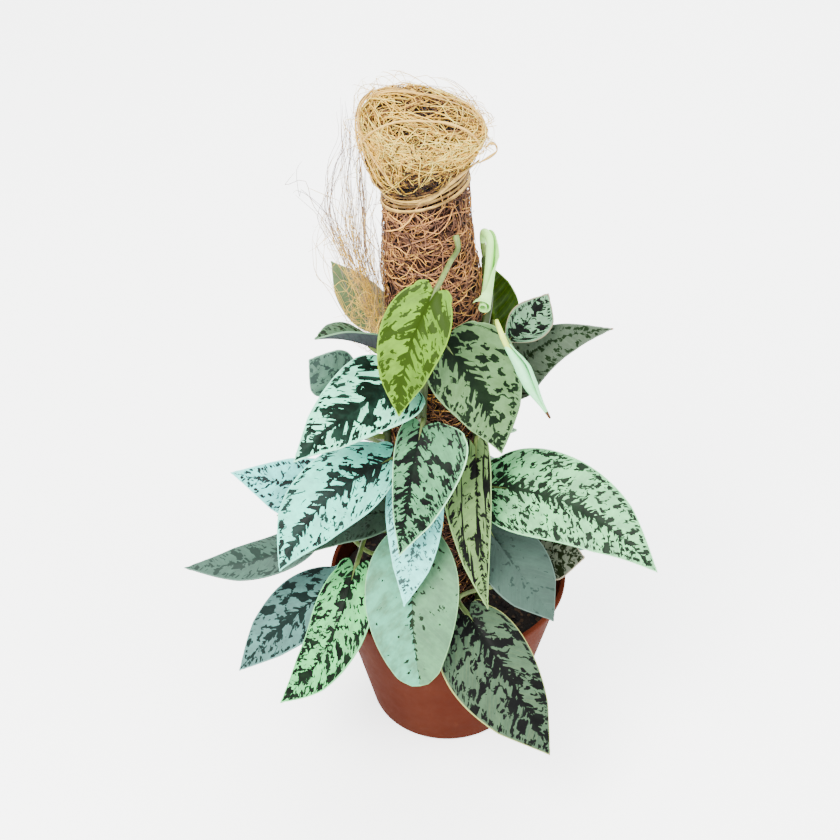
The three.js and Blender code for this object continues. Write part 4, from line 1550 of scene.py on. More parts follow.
@dataclass
class RaffiaTie:
    """Flat raffia wound round the neck, in millimetres.

    Each turn is (start azimuth, turns, mean height, sag at the front, lift off the coir, width, tone). rim,
    left and crossing are (azimuth, height) rows on the coir, rising is (azimuth, height, lift) rows and loop
    is (azimuth, radius, height) rows. Heights are before the slant that the coir has at the neck.
    """

    thick: float = 0.35
    seed: int = 8
    turns: tuple[tuple[float, ...], ...] = (
        (60, 1.2, 320.9, 1.5, 0.9, 1.2, 0.85), (200, 1.2, 317.4, 0.6, 1.0, 0.8, 0.6),
        (20, 1.1, 323.0, 2.4, 1.2, 0.7, 0.65), (150, 1.1, 319.2, 0.9, 1.2, 0.5, 0.5),
        (100, 1.2, 313.2, -0.6, 1.1, 1.0, 0.9), (260, 1.1, 314.9, 0.2, 0.9, 0.5, 0.55),
        (-40, 1.1, 319.9, 1.8, 1.6, 0.5, 1.0), (10, 1.2, 312.0, -0.6, 1.3, 0.4, 0.6),
        (-110, 1.2, 322.0, 0.4, 1.4, 0.5, 0.7),
    )
    rim: Table = ((-62, 339.5), (-76, 344.5), (-90, 347.5), (-104, 350.2), (-128, 351.4), (-190, 351.6),
                  (-240, 351), (-252, 349.5), (-264, 347), (-272, 342))
    left: Table = ((-40, 322.3), (-44, 327.5), (-48, 332), (-56, 336.4), (-64, 340.5), (-76, 343.5),
                   (-90, 346.3), (-104, 349.4))
    crossing: Table = ((-60, 340), (-52, 343.9), (-42, 346.7), (-30, 349.2), (-16, 350.1), (6, 350.5),
                       (30, 350.3), (46, 349), (54, 346), (58, 341))
    rising: tuple[tuple[float, float, float], ...] = (
        (-4, 317, 1.8), (16, 318.5, 2.0), (32, 323, 2.2), (50, 326, 2.8), (66, 327, 3.8))
    loop: tuple[tuple[float, float, float], ...] = (
        (64, 26, 326), (71, 29.6, 327.5), (76, 32.2, 330.5), (79, 31.6, 334.5), (78, 29.4, 336.5),
        (74, 27.5, 334))
    steps_a_turn: int = 44

    def __post_init__(self) -> None:
        """Starts with no ribbons."""
        self.ribbons: list[bpy.types.Object] = []
        self.tones: list[float] = []

    def ribbon(self, path: Sequence[Vector], width: float, tone: float, tip: float = 0.35) -> None:
        """Adds one flat ribbon that faces away from the pole.

        Args:
            path: places along its middle.
            width: its width in millimetres.
            tone: 0 for dark raffia and 1 for pale.
            tip: its width at both ends, as a share.
        """
        corners, faces = [], []
        last, bow = len(path) - 1, self.thick * MM
        for i, place in enumerate(path):
            tangent = (path[min(i + 1, last)] - path[max(i - 1, 0)]).normalized()
            out = place - POLE.at(0, 0, place.z / MM)
            out = (out - tangent * out.dot(tangent)).normalized()
            twist = 0.5 * math.sin(i * 0.23 + width * 11)
            up = (tangent.cross(out).normalized() + out * twist).normalized()
            end = min(min(i, last - i) / max(last * 0.12, 1), 1)
            half = width / 2 * (tip + (1 - tip) * end) * (1 + 0.25 * math.sin(i * 0.45 + width * 9)) * MM
            for across in (-1, -0.5, 0, 0.5, 1):
                corners.append(place + up * half * across + out * bow * (0.5 - across * across))
                self.tones.extend((tone + 0.14 * math.sin(9 * across + tone * 20), i / last, 0.0))
        for i in range(last):
            for k in range(4):
                a, b = i * 5 + k, (i + 1) * 5 + k
                faces.append((a, b, b + 1, a + 1))
        self.ribbons.append(mesh_piece("ribbon", corners, faces))

    def neck_turn(self, draw: random.Random, row: Sequence[float]) -> list[Vector]:
        """Winds a path round the neck.

        Args:
            draw: the seeded draw.
            row: one row of turns.

        Returns:
            Places along it.
        """
        start, turns, mean, sag, lift = row[:5]
        steps, phase = int(turns * self.steps_a_turn), draw.uniform(0, 6)
        path = []
        for i in range(steps + 1):
            azimuth = start + 360 * turns * i / steps
            z = mean - sag * math.cos((azimuth - 12) * DEG) + 1.1 * math.sin(azimuth * DEG * 0.8 + phase)
            path.append(POLE.on_coir(azimuth, self.wrapped_radius(z) + lift, z))
        return path

    @staticmethod
    def wrapped_radius(z: float) -> float:
        """Gives the coir's radius over the neck and the head's side.

        Args:
            z: the height.

        Returns:
            The radius there.
        """
        if z < POLE.head[0][1]:
            return POLE.sleeve_radius(z)
        return table_at(tuple((height, radius) for radius, height in POLE.head), z)

    def over_head(self, rows: Table, shift: float, lift: float) -> list[Vector]:
        """Lays a path over the head.

        Args:
            rows: (azimuth, height) rows.
            shift: degrees that it is moved round.
            lift: millimetres off the coir.

        Returns:
            Places along it.
        """
        spots = [POLE.on_coir(a + shift + 3 * math.sin(0.13 * z + shift), self.wrapped_radius(z) + lift,
                              z + shift * 0.06 + lift * held((z - 342) / 7)) for a, z in rows]
        return smooth_path(spots, 40)

    def build(self) -> None:
        """Builds every turn, the strips up the left side, the strand over the front, and the loop."""
        draw = random.Random(self.seed)
        for row in self.turns:
            self.ribbon(self.neck_turn(draw, row), row[5], row[6])
        for rows, shift, lift, width, tone in (
                (self.left, 0, 2.0, 1.0, 1.0), (self.left, -11, 2.3, 0.6, 0.8),
                (self.left, 9, 2.1, 0.7, 0.95), (self.rim, 0, 1.9, 0.9, 0.9),
                (self.rim, -10, 2.2, 0.5, 0.8), (self.crossing, 0, 2.8, 0.8, 1.0)):
            self.ribbon(self.over_head(rows, shift, lift), width, tone)
        spots = [POLE.on_coir(a, self.wrapped_radius(z) + lift, z) for a, z, lift in self.rising]
        self.ribbon(smooth_path(spots, 28), 2.2, 0.75, tip=0.5)
        spots = [POLE.on_coir(*row) for row in self.loop]
        self.ribbon(smooth_path(spots, 34), 1.1, 0.9, tip=0.6)
        tie = joined("raffia_tie", self.ribbons)
        noted(tie, "fibre", self.tones)
        finish_modifier(tie, "SOLIDIFY", thickness=self.thick * MM, offset=0)
        tie.data.materials.append(RAFFIA.material("raffia"))
        smooth_shade(tie, 40)
        placed(tie, Slot.RAFFIA, "coir_tie")


@dataclass
class LooseWisps:
    """The orange tuft and the thin hairs that have come off the pole's left side, in millimetres.

    Each route is the middle of a sheaf of hairs, and shares says how many of them follow it. Hairs turn grey
    from grey_from upwards, over a height of grey_over.
    """

    routes: tuple[tuple[tuple[float, float, float], ...], ...] = (
        ((-33, -6, 232), (-36, -6, 252), (-41, -5, 275), (-45, -3, 293), (-45, 0, 315), (-44, 2, 337),
         (-45, 4, 353)),
        ((-31, -8, 236), (-34, -8, 262), (-39, -7, 288), (-39, -4, 313), (-40, -2, 331), (-37, 0, 346),
         (-38, 2, 354)),
        ((-35, -6, 240), (-40, -6, 262), (-51, -6, 288), (-60, -6, 306), (-67, -6, 313), (-70, -6, 311),
         (-69, -6, 320), (-65, -6, 329), (-63, -6, 336)),
        ((-36, -8, 232), (-43, -8, 246), (-52, -8, 264), (-58, -8, 278), (-59, -8, 292), (-57, -8, 302)),
        ((-32, -8, 240), (-35, -8, 258), (-44, -8, 277), (-53, -6, 293), (-58, -6, 305), (-62, -6, 309)),
        ((-31, -12, 244), (-31, -12, 268), (-34, -12, 292), (-36, -12, 305), (-34, -12, 317),
         (-37, -12, 323)),
        ((-33, -6, 236), (-37, -6, 252), (-47, -4, 277), (-55, -2, 299), (-52, 0, 320), (-47, 2, 334),
         (-45, 4, 347)),
    )
    shares: tuple[int, ...] = (30, 28, 4, 6, 14, 14, 24)
    tuft: int = 250
    grey_from: float = 262
    grey_over: float = 60
    seed: int = 5

    def hair(self, draw: random.Random, route: Sequence[Vector]) -> list[Vector]:
        """Lets one hair stray along a route.

        Args:
            draw: the seeded draw.
            route: the sheaf's middle, in metres.

        Returns:
            Places along it.
        """
        offset = strayed(draw, 2.2, 2.2, 2.5) * MM
        spots = []
        for i, place in enumerate(route):
            stray = strayed(draw, 1.5, 1.5, 1.2) * MM
            spots.append(place + offset * (0.3 + 0.12 * i) + stray)
        path = smooth_path(spots, 26)
        first, last = draw.randint(0, 9), draw.randint(14, 26)
        waver, phase = draw.uniform(0.15, 0.9) * MM, draw.uniform(0, 6)
        return [place + Vector((math.sin(0.9 * i + phase), math.cos(0.7 * i + phase), 0)) * waver
                for i, place in enumerate(path)][first:last + 1]

    def build(self) -> None:
        """Builds the sheaves of hairs and the frizzy tuft."""
        draw = random.Random(self.seed)
        bundle = FibreBundle()
        for row, count in zip(self.routes, self.shares):
            route = [Vector(place) * MM for place in row]
            for _ in range(count):
                path = self.hair(draw, route)
                height = held((path[len(path) // 2].z / MM - self.grey_from) / self.grey_over)
                tone = 0.75 - 0.6 * height + draw.gauss(0, 0.12)
                bundle.lay(path, draw.uniform(0.08, 0.17) * MM, held(tone), tip=0.35)
        band = smooth_path([Vector(place) * MM for place in self.routes[0][:5]], 20)
        for _ in range(self.tuft):
            start = band[min(int(abs(draw.gauss(0, 8))), 20)]
            start = start + strayed(draw, 3.2, 3, 3) * MM
            reach = Vector((draw.gauss(-2, 6), draw.gauss(-2, 4), draw.gauss(5, 8))) * MM
            curl = strayed(draw, 3, 3, 3) * MM
            turns = draw.uniform(2, 7)
            path = [start + reach * s + curl * math.sin(turns * s)
                    for s in (0, 0.15, 0.3, 0.45, 0.6, 0.75, 0.9)]
            bundle.lay(path, draw.uniform(0.07, 0.15) * MM, draw.uniform(0.5, 1.0), tip=0.3)
        wisps = bundle.piece("coir_wisps", GREY_HAIR.material("loose_fibre"))
        placed(wisps, Slot.STRAW, "coir_wisp")


# Stems


@dataclass
class ClimbingStems:
    """The stems that climb the pole, each a table of (height, azimuth), in millimetres and degrees."""

    routes: dict[str, Table] = field(default_factory=lambda: {
        "stem_left": ((78, -64), (110, -60), (150, -62), (190, -66), (236, -60)),
        "stem_front": ((78, -28), (110, -26), (150, -20), (200, -14), (240, -8), (252, -6)),
        "stem_right": ((78, 56), (120, 58), (160, 54), (200, 52), (238, 56), (256, 86), (278, 92)),
        "stem_back_left": ((78, -132), (110, -128), (150, -134), (200, -130), (240, -126)),
        "stem_back_right": ((78, 160), (120, 164), (170, 160), (220, 164), (256, 168)),
    })
    radius: float = 2.1
    off_coir: float = 1.65
    depth: float = 26
    steps: int = 84
    root_radii: tuple[float, ...] = (0.75, 0.7, 0.6, 0.45, 0.2)
    root_seed: int = 31

    def point(self, name: str, z: float) -> Vector:
        """Gives the place of a stem's middle."""
        radius = POLE.sleeve_radius(z) + self.off_coir + self.radius
        return POLE.at(table_at(self.routes[name], z), radius, z)

    def build(self, leaf_heights: dict[str, list[float]]) -> None:
        """Builds the stems with a ring at each leaf, and the short roots that hold on to the coir.

        Args:
            leaf_heights: for each stem, the heights at which leaves stand.
        """
        skins = (STEM_GREEN.material("stem_green"), ROOT_BROWN.material("aerial_root"))
        draw = random.Random(self.root_seed)
        for name, route in self.routes.items():
            spots = [self.point(name, z) for z, _ in route]
            foot = spots[0].copy()
            foot.z = (route[0][0] - self.depth) * MM
            path = smooth_path([foot, *spots], self.steps)
            radii = []
            for place in path:
                swell = sum(math.exp(-(((place.z / MM) - z) / 1.7) ** 2) for z in leaf_heights[name])
                radii.append(self.radius * (0.93 + 0.16 * min(swell, 1)) * MM)
            radii[-1] *= 0.6
            stem = tube(name + "_bark", path, radii, 12)
            dressed(stem, skins)
            parts = [stem]
            for z in leaf_heights[name]:
                for _ in range(2):
                    azimuth = table_at(self.routes[name], z)
                    swing, drop = draw.uniform(-26, 26), draw.uniform(3, 12)
                    reach = POLE.sleeve_radius(z) + self.off_coir
                    way = [POLE.at(azimuth + swing * s, reach + 1.2 - 1.9 * s, z - 1 - drop * s)
                           for s in (0, 0.25, 0.5, 0.75, 1)]
                    root = tube("root", way, [radius * MM for radius in self.root_radii], 6)
                    dressed(root, skins, 1)
                    parts.append(root)
            stem = joined(name + "_bark", parts)
            smooth_shade(stem, 60)
            placed(stem, Slot.STEM, name)


STEMS = ClimbingStems()


# Leaves


@dataclass
class LeafForm:
    """One open leaf: where it stands and how its blade is shaped. Millimetres and degrees.

    base is where the petiole meets the blade and tip is the leaf's point. face is the way the upper side
    looks, as azimuth and height. fold lifts both halves, arch bends the midrib, sway carries it to one side,
    and skew makes one half wider. widest is the widest place, as a share of the length. leave turns the
    petiole's first direction round the pole, and lift raises it. blunt rounds the point off. wave is how far
    the margin rises and falls, and recurve how far it bends down.
    """

    name: str
    stem: str
    height: float
    base: tuple[float, float, float]
    tip: tuple[float, float, float]
    width: float
    finish: LeafFinish
    face: tuple[float, float] = (0, 45)
    fold: float = 8
    arch: float = 15
    sway: float = 0
    skew: float = 0
    widest: float = 0.36
    leave: float = 0
    lift: float = 0.35
    blunt: float = 0
    wave: float = 0.45
    recurve: float = 0.5
    under: UndersideFinish = UNDER_GREY

    LOBE = 0.07
    LOBE_CENTRE = 0.15
    DRIP = 0.3
    FULLNESS = 0.72
    DRIP_CURVE = 0.3
    MIDRIB_STEPS = 32

    def half_width(self, a: float) -> float:
        """Gives half the blade's width.

        Args:
            a: share of the blade's length.

        Returns:
            The half width in millimetres.
        """
        if a >= 1:
            return 0.0
        lobe, drip = self.LOBE, self.DRIP * (1 - 0.8 * min(self.blunt * 12, 1))
        along = max((a * (1 - self.blunt) + lobe) / (1 + lobe), 0)
        power = math.log(0.5) / math.log((self.widest + lobe) / (1 + lobe))
        belly = max(math.sin(math.pi * along ** power), 0) ** self.FULLNESS
        point = min((1 - a) / drip, 1) ** self.DRIP_CURVE
        return 0.5 * self.width * belly * point

    def edges(self, a: float) -> tuple[float, float]:
        """Gives one half's edges. Behind the petiole the two lobes stand apart.

        Args:
            a: share of the blade's length; below 0 is behind the petiole.

        Returns:
            The inner and the outer edge, in millimetres from the midrib.
        """
        if a >= 0:
            return 0.0, self.half_width(a)
        back = min(-a / self.LOBE, 1)
        bulge = math.sqrt(1 - back * back)
        centre = self.LOBE_CENTRE * self.width
        shoulder = self.half_width(0)
        return centre * (0.5 * back + 0.5 * (1 - bulge)), centre + (shoulder - centre) * bulge


@dataclass
class OpenLeaf:
    """Builds the blade and the petiole of one leaf."""

    form: LeafForm
    seed: int
    rows: int = 46
    columns: int = 15
    lobe_rows: int = 7
    thick: float = 0.7

    COIR_AZIMUTH = 38
    PETIOLE_STEPS = 26
    PETIOLE_RADIUS = 1.1

    def __post_init__(self) -> None:
        """Works out the blade's frame and its arched midrib."""
        form = self.form
        self.base = Vector(form.base)
        chord = Vector(form.tip) - self.base
        self.length = chord.length
        self.along = chord / self.length
        azimuth, height = (angle * DEG for angle in form.face)
        normal = Vector((math.sin(azimuth) * math.cos(height), -math.cos(azimuth) * math.cos(height),
                         math.sin(height)))
        self.normal = (normal - self.along * normal.dot(self.along)).normalized()
        self.across = self.normal.cross(self.along)
        self.midrib = self.arched()

    def arched(self) -> list[tuple[float, float]]:
        """Bends the midrib.

        Returns:
            The midrib from the side, as points from (0, 0) to (1, 0).
        """
        steps = self.form.MIDRIB_STEPS
        points = [(0.0, 0.0)]
        for i in range(steps):
            angle = self.form.arch * (1 - 2 * (i + 0.5) / steps) * DEG
            x, z = points[-1]
            points.append((x + math.cos(angle) / steps, z + math.sin(angle) / steps))
        end_x, end_z = points[-1]
        length = math.hypot(end_x, end_z)
        c, s = end_x / length, end_z / length
        return [((x * c + z * s) / length, (z * c - x * s) / length) for x, z in points]

    def rib_at(self, a: float) -> tuple[Vector, Vector, Vector, Vector]:
        """The midrib at a share of its length.

        Args:
            a: the share; below 0 is behind the petiole.

        Returns:
            Its place in millimetres, and its directions along, across and up.
        """
        rib, last = self.midrib, len(self.midrib) - 1
        t = held(a, 0, 0.9999) * last
        i = int(t)
        low, high = rib[max(i - 1, 0)], rib[min(i + 2, last)]
        share, before = t - i, min(a, 0)
        slope = [(rib[1][k] - rib[0][k]) * last for k in (0, 1)]
        x, z = (rib[i][k] * (1 - share) + rib[i + 1][k] * share + slope[k] * before for k in (0, 1))
        sway = self.form.sway
        side = sway * (math.sin(math.pi * a) if a > 0 else math.pi * a)
        turn = sway * math.pi * math.cos(math.pi * max(a, 0))
        place = self.base + (self.along * x + self.normal * z + self.across * side) * self.length
        tangent = (self.along * (high[0] - low[0]) + self.normal * (high[1] - low[1])).normalized()
        tangent = (tangent + self.across * turn).normalized()
        across = (self.across - tangent * self.across.dot(tangent)).normalized()
        return place, tangent, across, tangent.cross(across)

    def relief(self, a: float, hand: int, q: float, y: float) -> float:
        """How far the real blade stands off a plain curved sheet, in millimetres.

        Args:
            a: share along the blade.
            hand: which half.
            q: share across the half.
            y: distance from the midrib in millimetres.

        Returns:
            The height: a groove over the midrib, soft swellings between the side veins, a waving margin
            that bends down at its edge, and a slow unevenness.
        """
        form = self.form
        groove = -0.55 * math.exp(-((y / 0.9) ** 2)) * min(1, 1.4 * (1 - a))
        vein = (a * self.length - 0.9 * y) / 6.5
        swell = 0.16 * math.sin(2 * math.pi * vein) * math.sin(math.pi * min(q, 1)) ** 0.7
        phase = self.seed * 1.7 + hand * 1.1
        room = max(0.0, math.sin(math.pi * held(a)))
        wave = form.wave * q * q * math.sin(2 * math.pi * 1.6 * a + phase) * room
        bend = -form.recurve * q ** 5 * room
        uneven = 0.5 * noise.noise(Vector((a * 2.4, hand * q * 1.3, self.seed * 3.1))) * q * room
        return groove + swell + wave + bend + uneven

    def blade_half(self, hand: int) -> bpy.types.Object:
        """Models one half of the blade from a flat grid.

        Args:
            hand: 1 or -1.

        Returns:
            The half as a sheet, with the places that its material reads in two attributes.
        """
        form = self.form
        bpy.ops.object.select_all(action="DESELECT")
        bpy.ops.mesh.primitive_grid_add(x_subdivisions=self.columns, y_subdivisions=self.rows, size=1)
        half = fresh("half")
        lobe_share = self.lobe_rows / self.rows
        places, edges = [], []
        for vertex in half.data.vertices:
            q, run = vertex.co.x + 0.5, vertex.co.y + 0.5
            if run < lobe_share:
                a = -form.LOBE * math.cos(run / lobe_share * math.pi / 2)
            else:
                forward = (run - lobe_share) / (1 - lobe_share)
                a = 1 - (1 - forward) ** 1.25
            a = 0.0 if abs(a) < 1e-5 else a
            inner, outer = form.edges(a)
            eased = 1 - (1 - q) ** 1.3
            y = (inner + (outer - inner) * eased) * (1 + hand * form.skew)
            rise = form.fold * DEG
            rib, _tangent, across, up = self.rib_at(a)
            out = across * math.cos(rise) * hand + up * math.sin(rise)
            off = up * math.cos(rise) - across * hand * math.sin(rise)
            off = up.lerp(off, min(y / 2.0, 1.0))
            vertex.co = (rib + out * y + off * self.relief(a, hand, eased, y)) * MM
            wide = max(outer - inner, 0.001)
            vein = a * self.length - 0.75 * y - 0.45 * y * y / max(form.width * 0.5, 1)
            tip_gap = (1 - a) * self.length * 0.6
            places.extend((vein, y * hand, a * self.length))
            edges.extend((eased, min((1 - eased) * wide, tip_gap + 0.3 if a > 0.9 else 99), a))
        noted(half, "leaf_place", places)
        noted(half, "leaf_edge", edges)
        if hand > 0:
            bpy.ops.object.mode_set(mode="EDIT")
            bpy.ops.mesh.select_all(action="SELECT")
            bpy.ops.mesh.flip_normals()
            bpy.ops.object.mode_set(mode="OBJECT")
        return half

    def blade(self) -> bpy.types.Object:
        """Joins the halves along the midrib and gives the sheet its thickness.

        Returns:
            The blade, with its two materials.
        """
        sheet = joined("blade", [self.blade_half(1), self.blade_half(-1)])
        bpy.ops.object.mode_set(mode="EDIT")
        bpy.ops.mesh.select_all(action="SELECT")
        bpy.ops.mesh.remove_doubles(threshold=0.004 * MM)
        bpy.ops.object.mode_set(mode="OBJECT")
        sheet.data.materials.append(self.form.finish.material(self.form.name + "_face", self.seed))
        sheet.data.materials.append(self.form.under.material(self.form.name + "_under"))
        finish_modifier(sheet, "SOLIDIFY", thickness=self.thick * MM, offset=0, material_offset=1,
                        material_offset_rim=0)
        return sheet

    def petiole_start(self) -> tuple[list[Vector], Vector]:
        """Finds where the petiole sets out.

        Returns:
            Its first places, in millimetres, and the level direction that it leaves in. A petiole that
            comes out of the coir starts a little under the strands.
        """
        form = self.form
        if form.stem == "coir":
            reach = POLE.sleeve_radius(form.height)
            spots = [POLE.at(self.COIR_AZIMUTH + 5, reach - 0.6, form.height + 4) / MM,
                     POLE.at(self.COIR_AZIMUTH, reach + 2.8, form.height) / MM]
            return spots, facing(self.COIR_AZIMUTH + form.leave)
        outward = facing(table_at(STEMS.routes[form.stem], form.height) + form.leave)
        return [STEMS.point(form.stem, form.height) / MM + outward * (STEMS.radius - 0.6)], outward

    def petiole(self) -> bpy.types.Object:
        """Models the petiole out to the blade, sunk a little into its under side.

        Returns:
            The petiole.
        """
        spots, outward = self.petiole_start()
        start = spots[-1]
        rib, tangent, _, up = self.rib_at(0)
        sunk = -self.thick / 2 - 0.75
        meet = rib + up * sunk
        inner, _, _, inner_up = self.rib_at(0.14)
        end = inner + inner_up * (sunk + 0.3)
        gap = (meet - start).length
        first = start + outward * gap * 0.3
        first.z += gap * 0.3 * self.form.lift
        before = meet - tangent * gap * 0.22
        path = smooth_path([p * MM for p in (*spots, first, before, meet, end)], self.PETIOLE_STEPS)
        radii = []
        for i in range(self.PETIOLE_STEPS + 1):
            share = i / self.PETIOLE_STEPS
            foot, node = math.exp(-((share / 0.12) ** 2)), math.exp(-(((share - 0.74) / 0.07) ** 2))
            thick = self.PETIOLE_RADIUS + 0.45 * foot + 0.18 * node
            radii.append(thick * (1 - 0.5 * max(share - 0.8, 0) / 0.2) * MM)
        return tube("petiole", path, radii, 10)

    def build(self) -> None:
        """Builds the leaf and dresses it."""
        blade, petiole = self.blade(), self.petiole()
        stalk = bpy.data.materials.get("petiole_green") or PETIOLE_GREEN.material("petiole_green")
        blade.data.materials.append(stalk)
        dressed(petiole, blade.data.materials, 2)
        leaf = joined(self.form.name.replace("leaf_", "blade_"), [blade, petiole])
        smooth_shade(leaf, 50)
        placed(leaf, self.form.finish.slot, self.form.name)


@dataclass
class RolledLeaf:
    """A young leaf that is still rolled up.

    spine is in millimetres. radii and flare are (share along the spine, millimetres) rows: the roll's outer
    radius, and how far the sheet's free edge stands off it. seam is where the free edge lies at the start,
    in degrees round the spine from the right, and how far it winds from there. slant lets the outer turns
    end before the inner ones, and browned is the share of the length at the tip that has dried.
    """

    name: str
    spine: tuple[tuple[float, float, float], ...]
    radii: Table
    flare: Table
    seam: tuple[float, float]
    roll_from: float
    turns: float
    finish: StalkFinish
    stalk: StalkFinish
    slant: float = 0.0
    browned: float = 0.0
    steps: int = 60
    around: int = 64
    thick: float = 0.3

    def sheet(self, path: Sequence[Vector], first: int) -> bpy.types.Object:
        """Rolls the sheet into a spiral.

        Args:
            path: the spine's places in metres.
            first: the step at which the roll begins.

        Returns:
            The roll, with three materials.
        """
        corners, faces = [], []
        side, last = Vector((1, 0, 0)), self.steps
        for i, place in enumerate(path):
            tangent = (path[min(i + 1, last)] - path[max(i - 1, 0)]).normalized()
            side = (side - tangent * side.dot(tangent)).normalized()
            if i < first:
                continue
            other, share = tangent.cross(side), i / last
            outer, flare = table_at(self.radii, share), table_at(self.flare, share)
            edge = self.seam[0] + self.seam[1] * (share - self.roll_from) - 360 * self.turns
            for k in range(self.around + 1):
                s = k / self.around
                turn = (edge + 360 * self.turns * s) * DEG
                radius = outer * (0.3 + 0.7 * s ** 0.8) + flare * max((s - 0.8) / 0.2, 0) ** 2
                back = tangent * self.slant * s * max((share - 0.75) / 0.25, 0) ** 2
                spoke = side * math.cos(turn) + other * math.sin(turn)
                corners.append(place + (spoke * radius - back) * MM)
        wide = self.around + 1
        for i in range(last - first):
            for k in range(self.around):
                a, b = i * wide + k, (i + 1) * wide + k
                faces.append((a, a + 1, b + 1, b))
        roll = mesh_piece("roll", corners, faces)
        dressed(roll, (self.finish.material(self.name + "_face"), self.stalk.material(self.name + "_stalk"),
                       DRIED.material(self.name + "_tip")))
        for polygon in roll.data.polygons:
            share = (first + polygon.vertices[0] // wide) / last
            polygon.material_index = 2 if share > 1 - self.browned else 0
        finish_modifier(roll, "SOLIDIFY", thickness=self.thick * MM, offset=-1)
        return roll

    def build(self) -> None:
        """Builds the roll and the stalk that it stands on."""
        path = smooth_path([Vector(p) * MM for p in self.spine], self.steps)
        first = int(self.roll_from * self.steps)
        roll = self.sheet(path, first)
        stalk_path = path[:first + 5]
        radii = [min(table_at(self.radii, i / self.steps), 1.3) * MM for i in range(len(stalk_path))]
        stalk = tube("stalk", stalk_path, radii, 12)
        dressed(stalk, roll.data.materials, 1)
        leaf = joined(self.name.replace("leaf_", ""), [roll, stalk])
        smooth_shade(leaf, 50)
        placed(leaf, Slot.PALE, self.name)


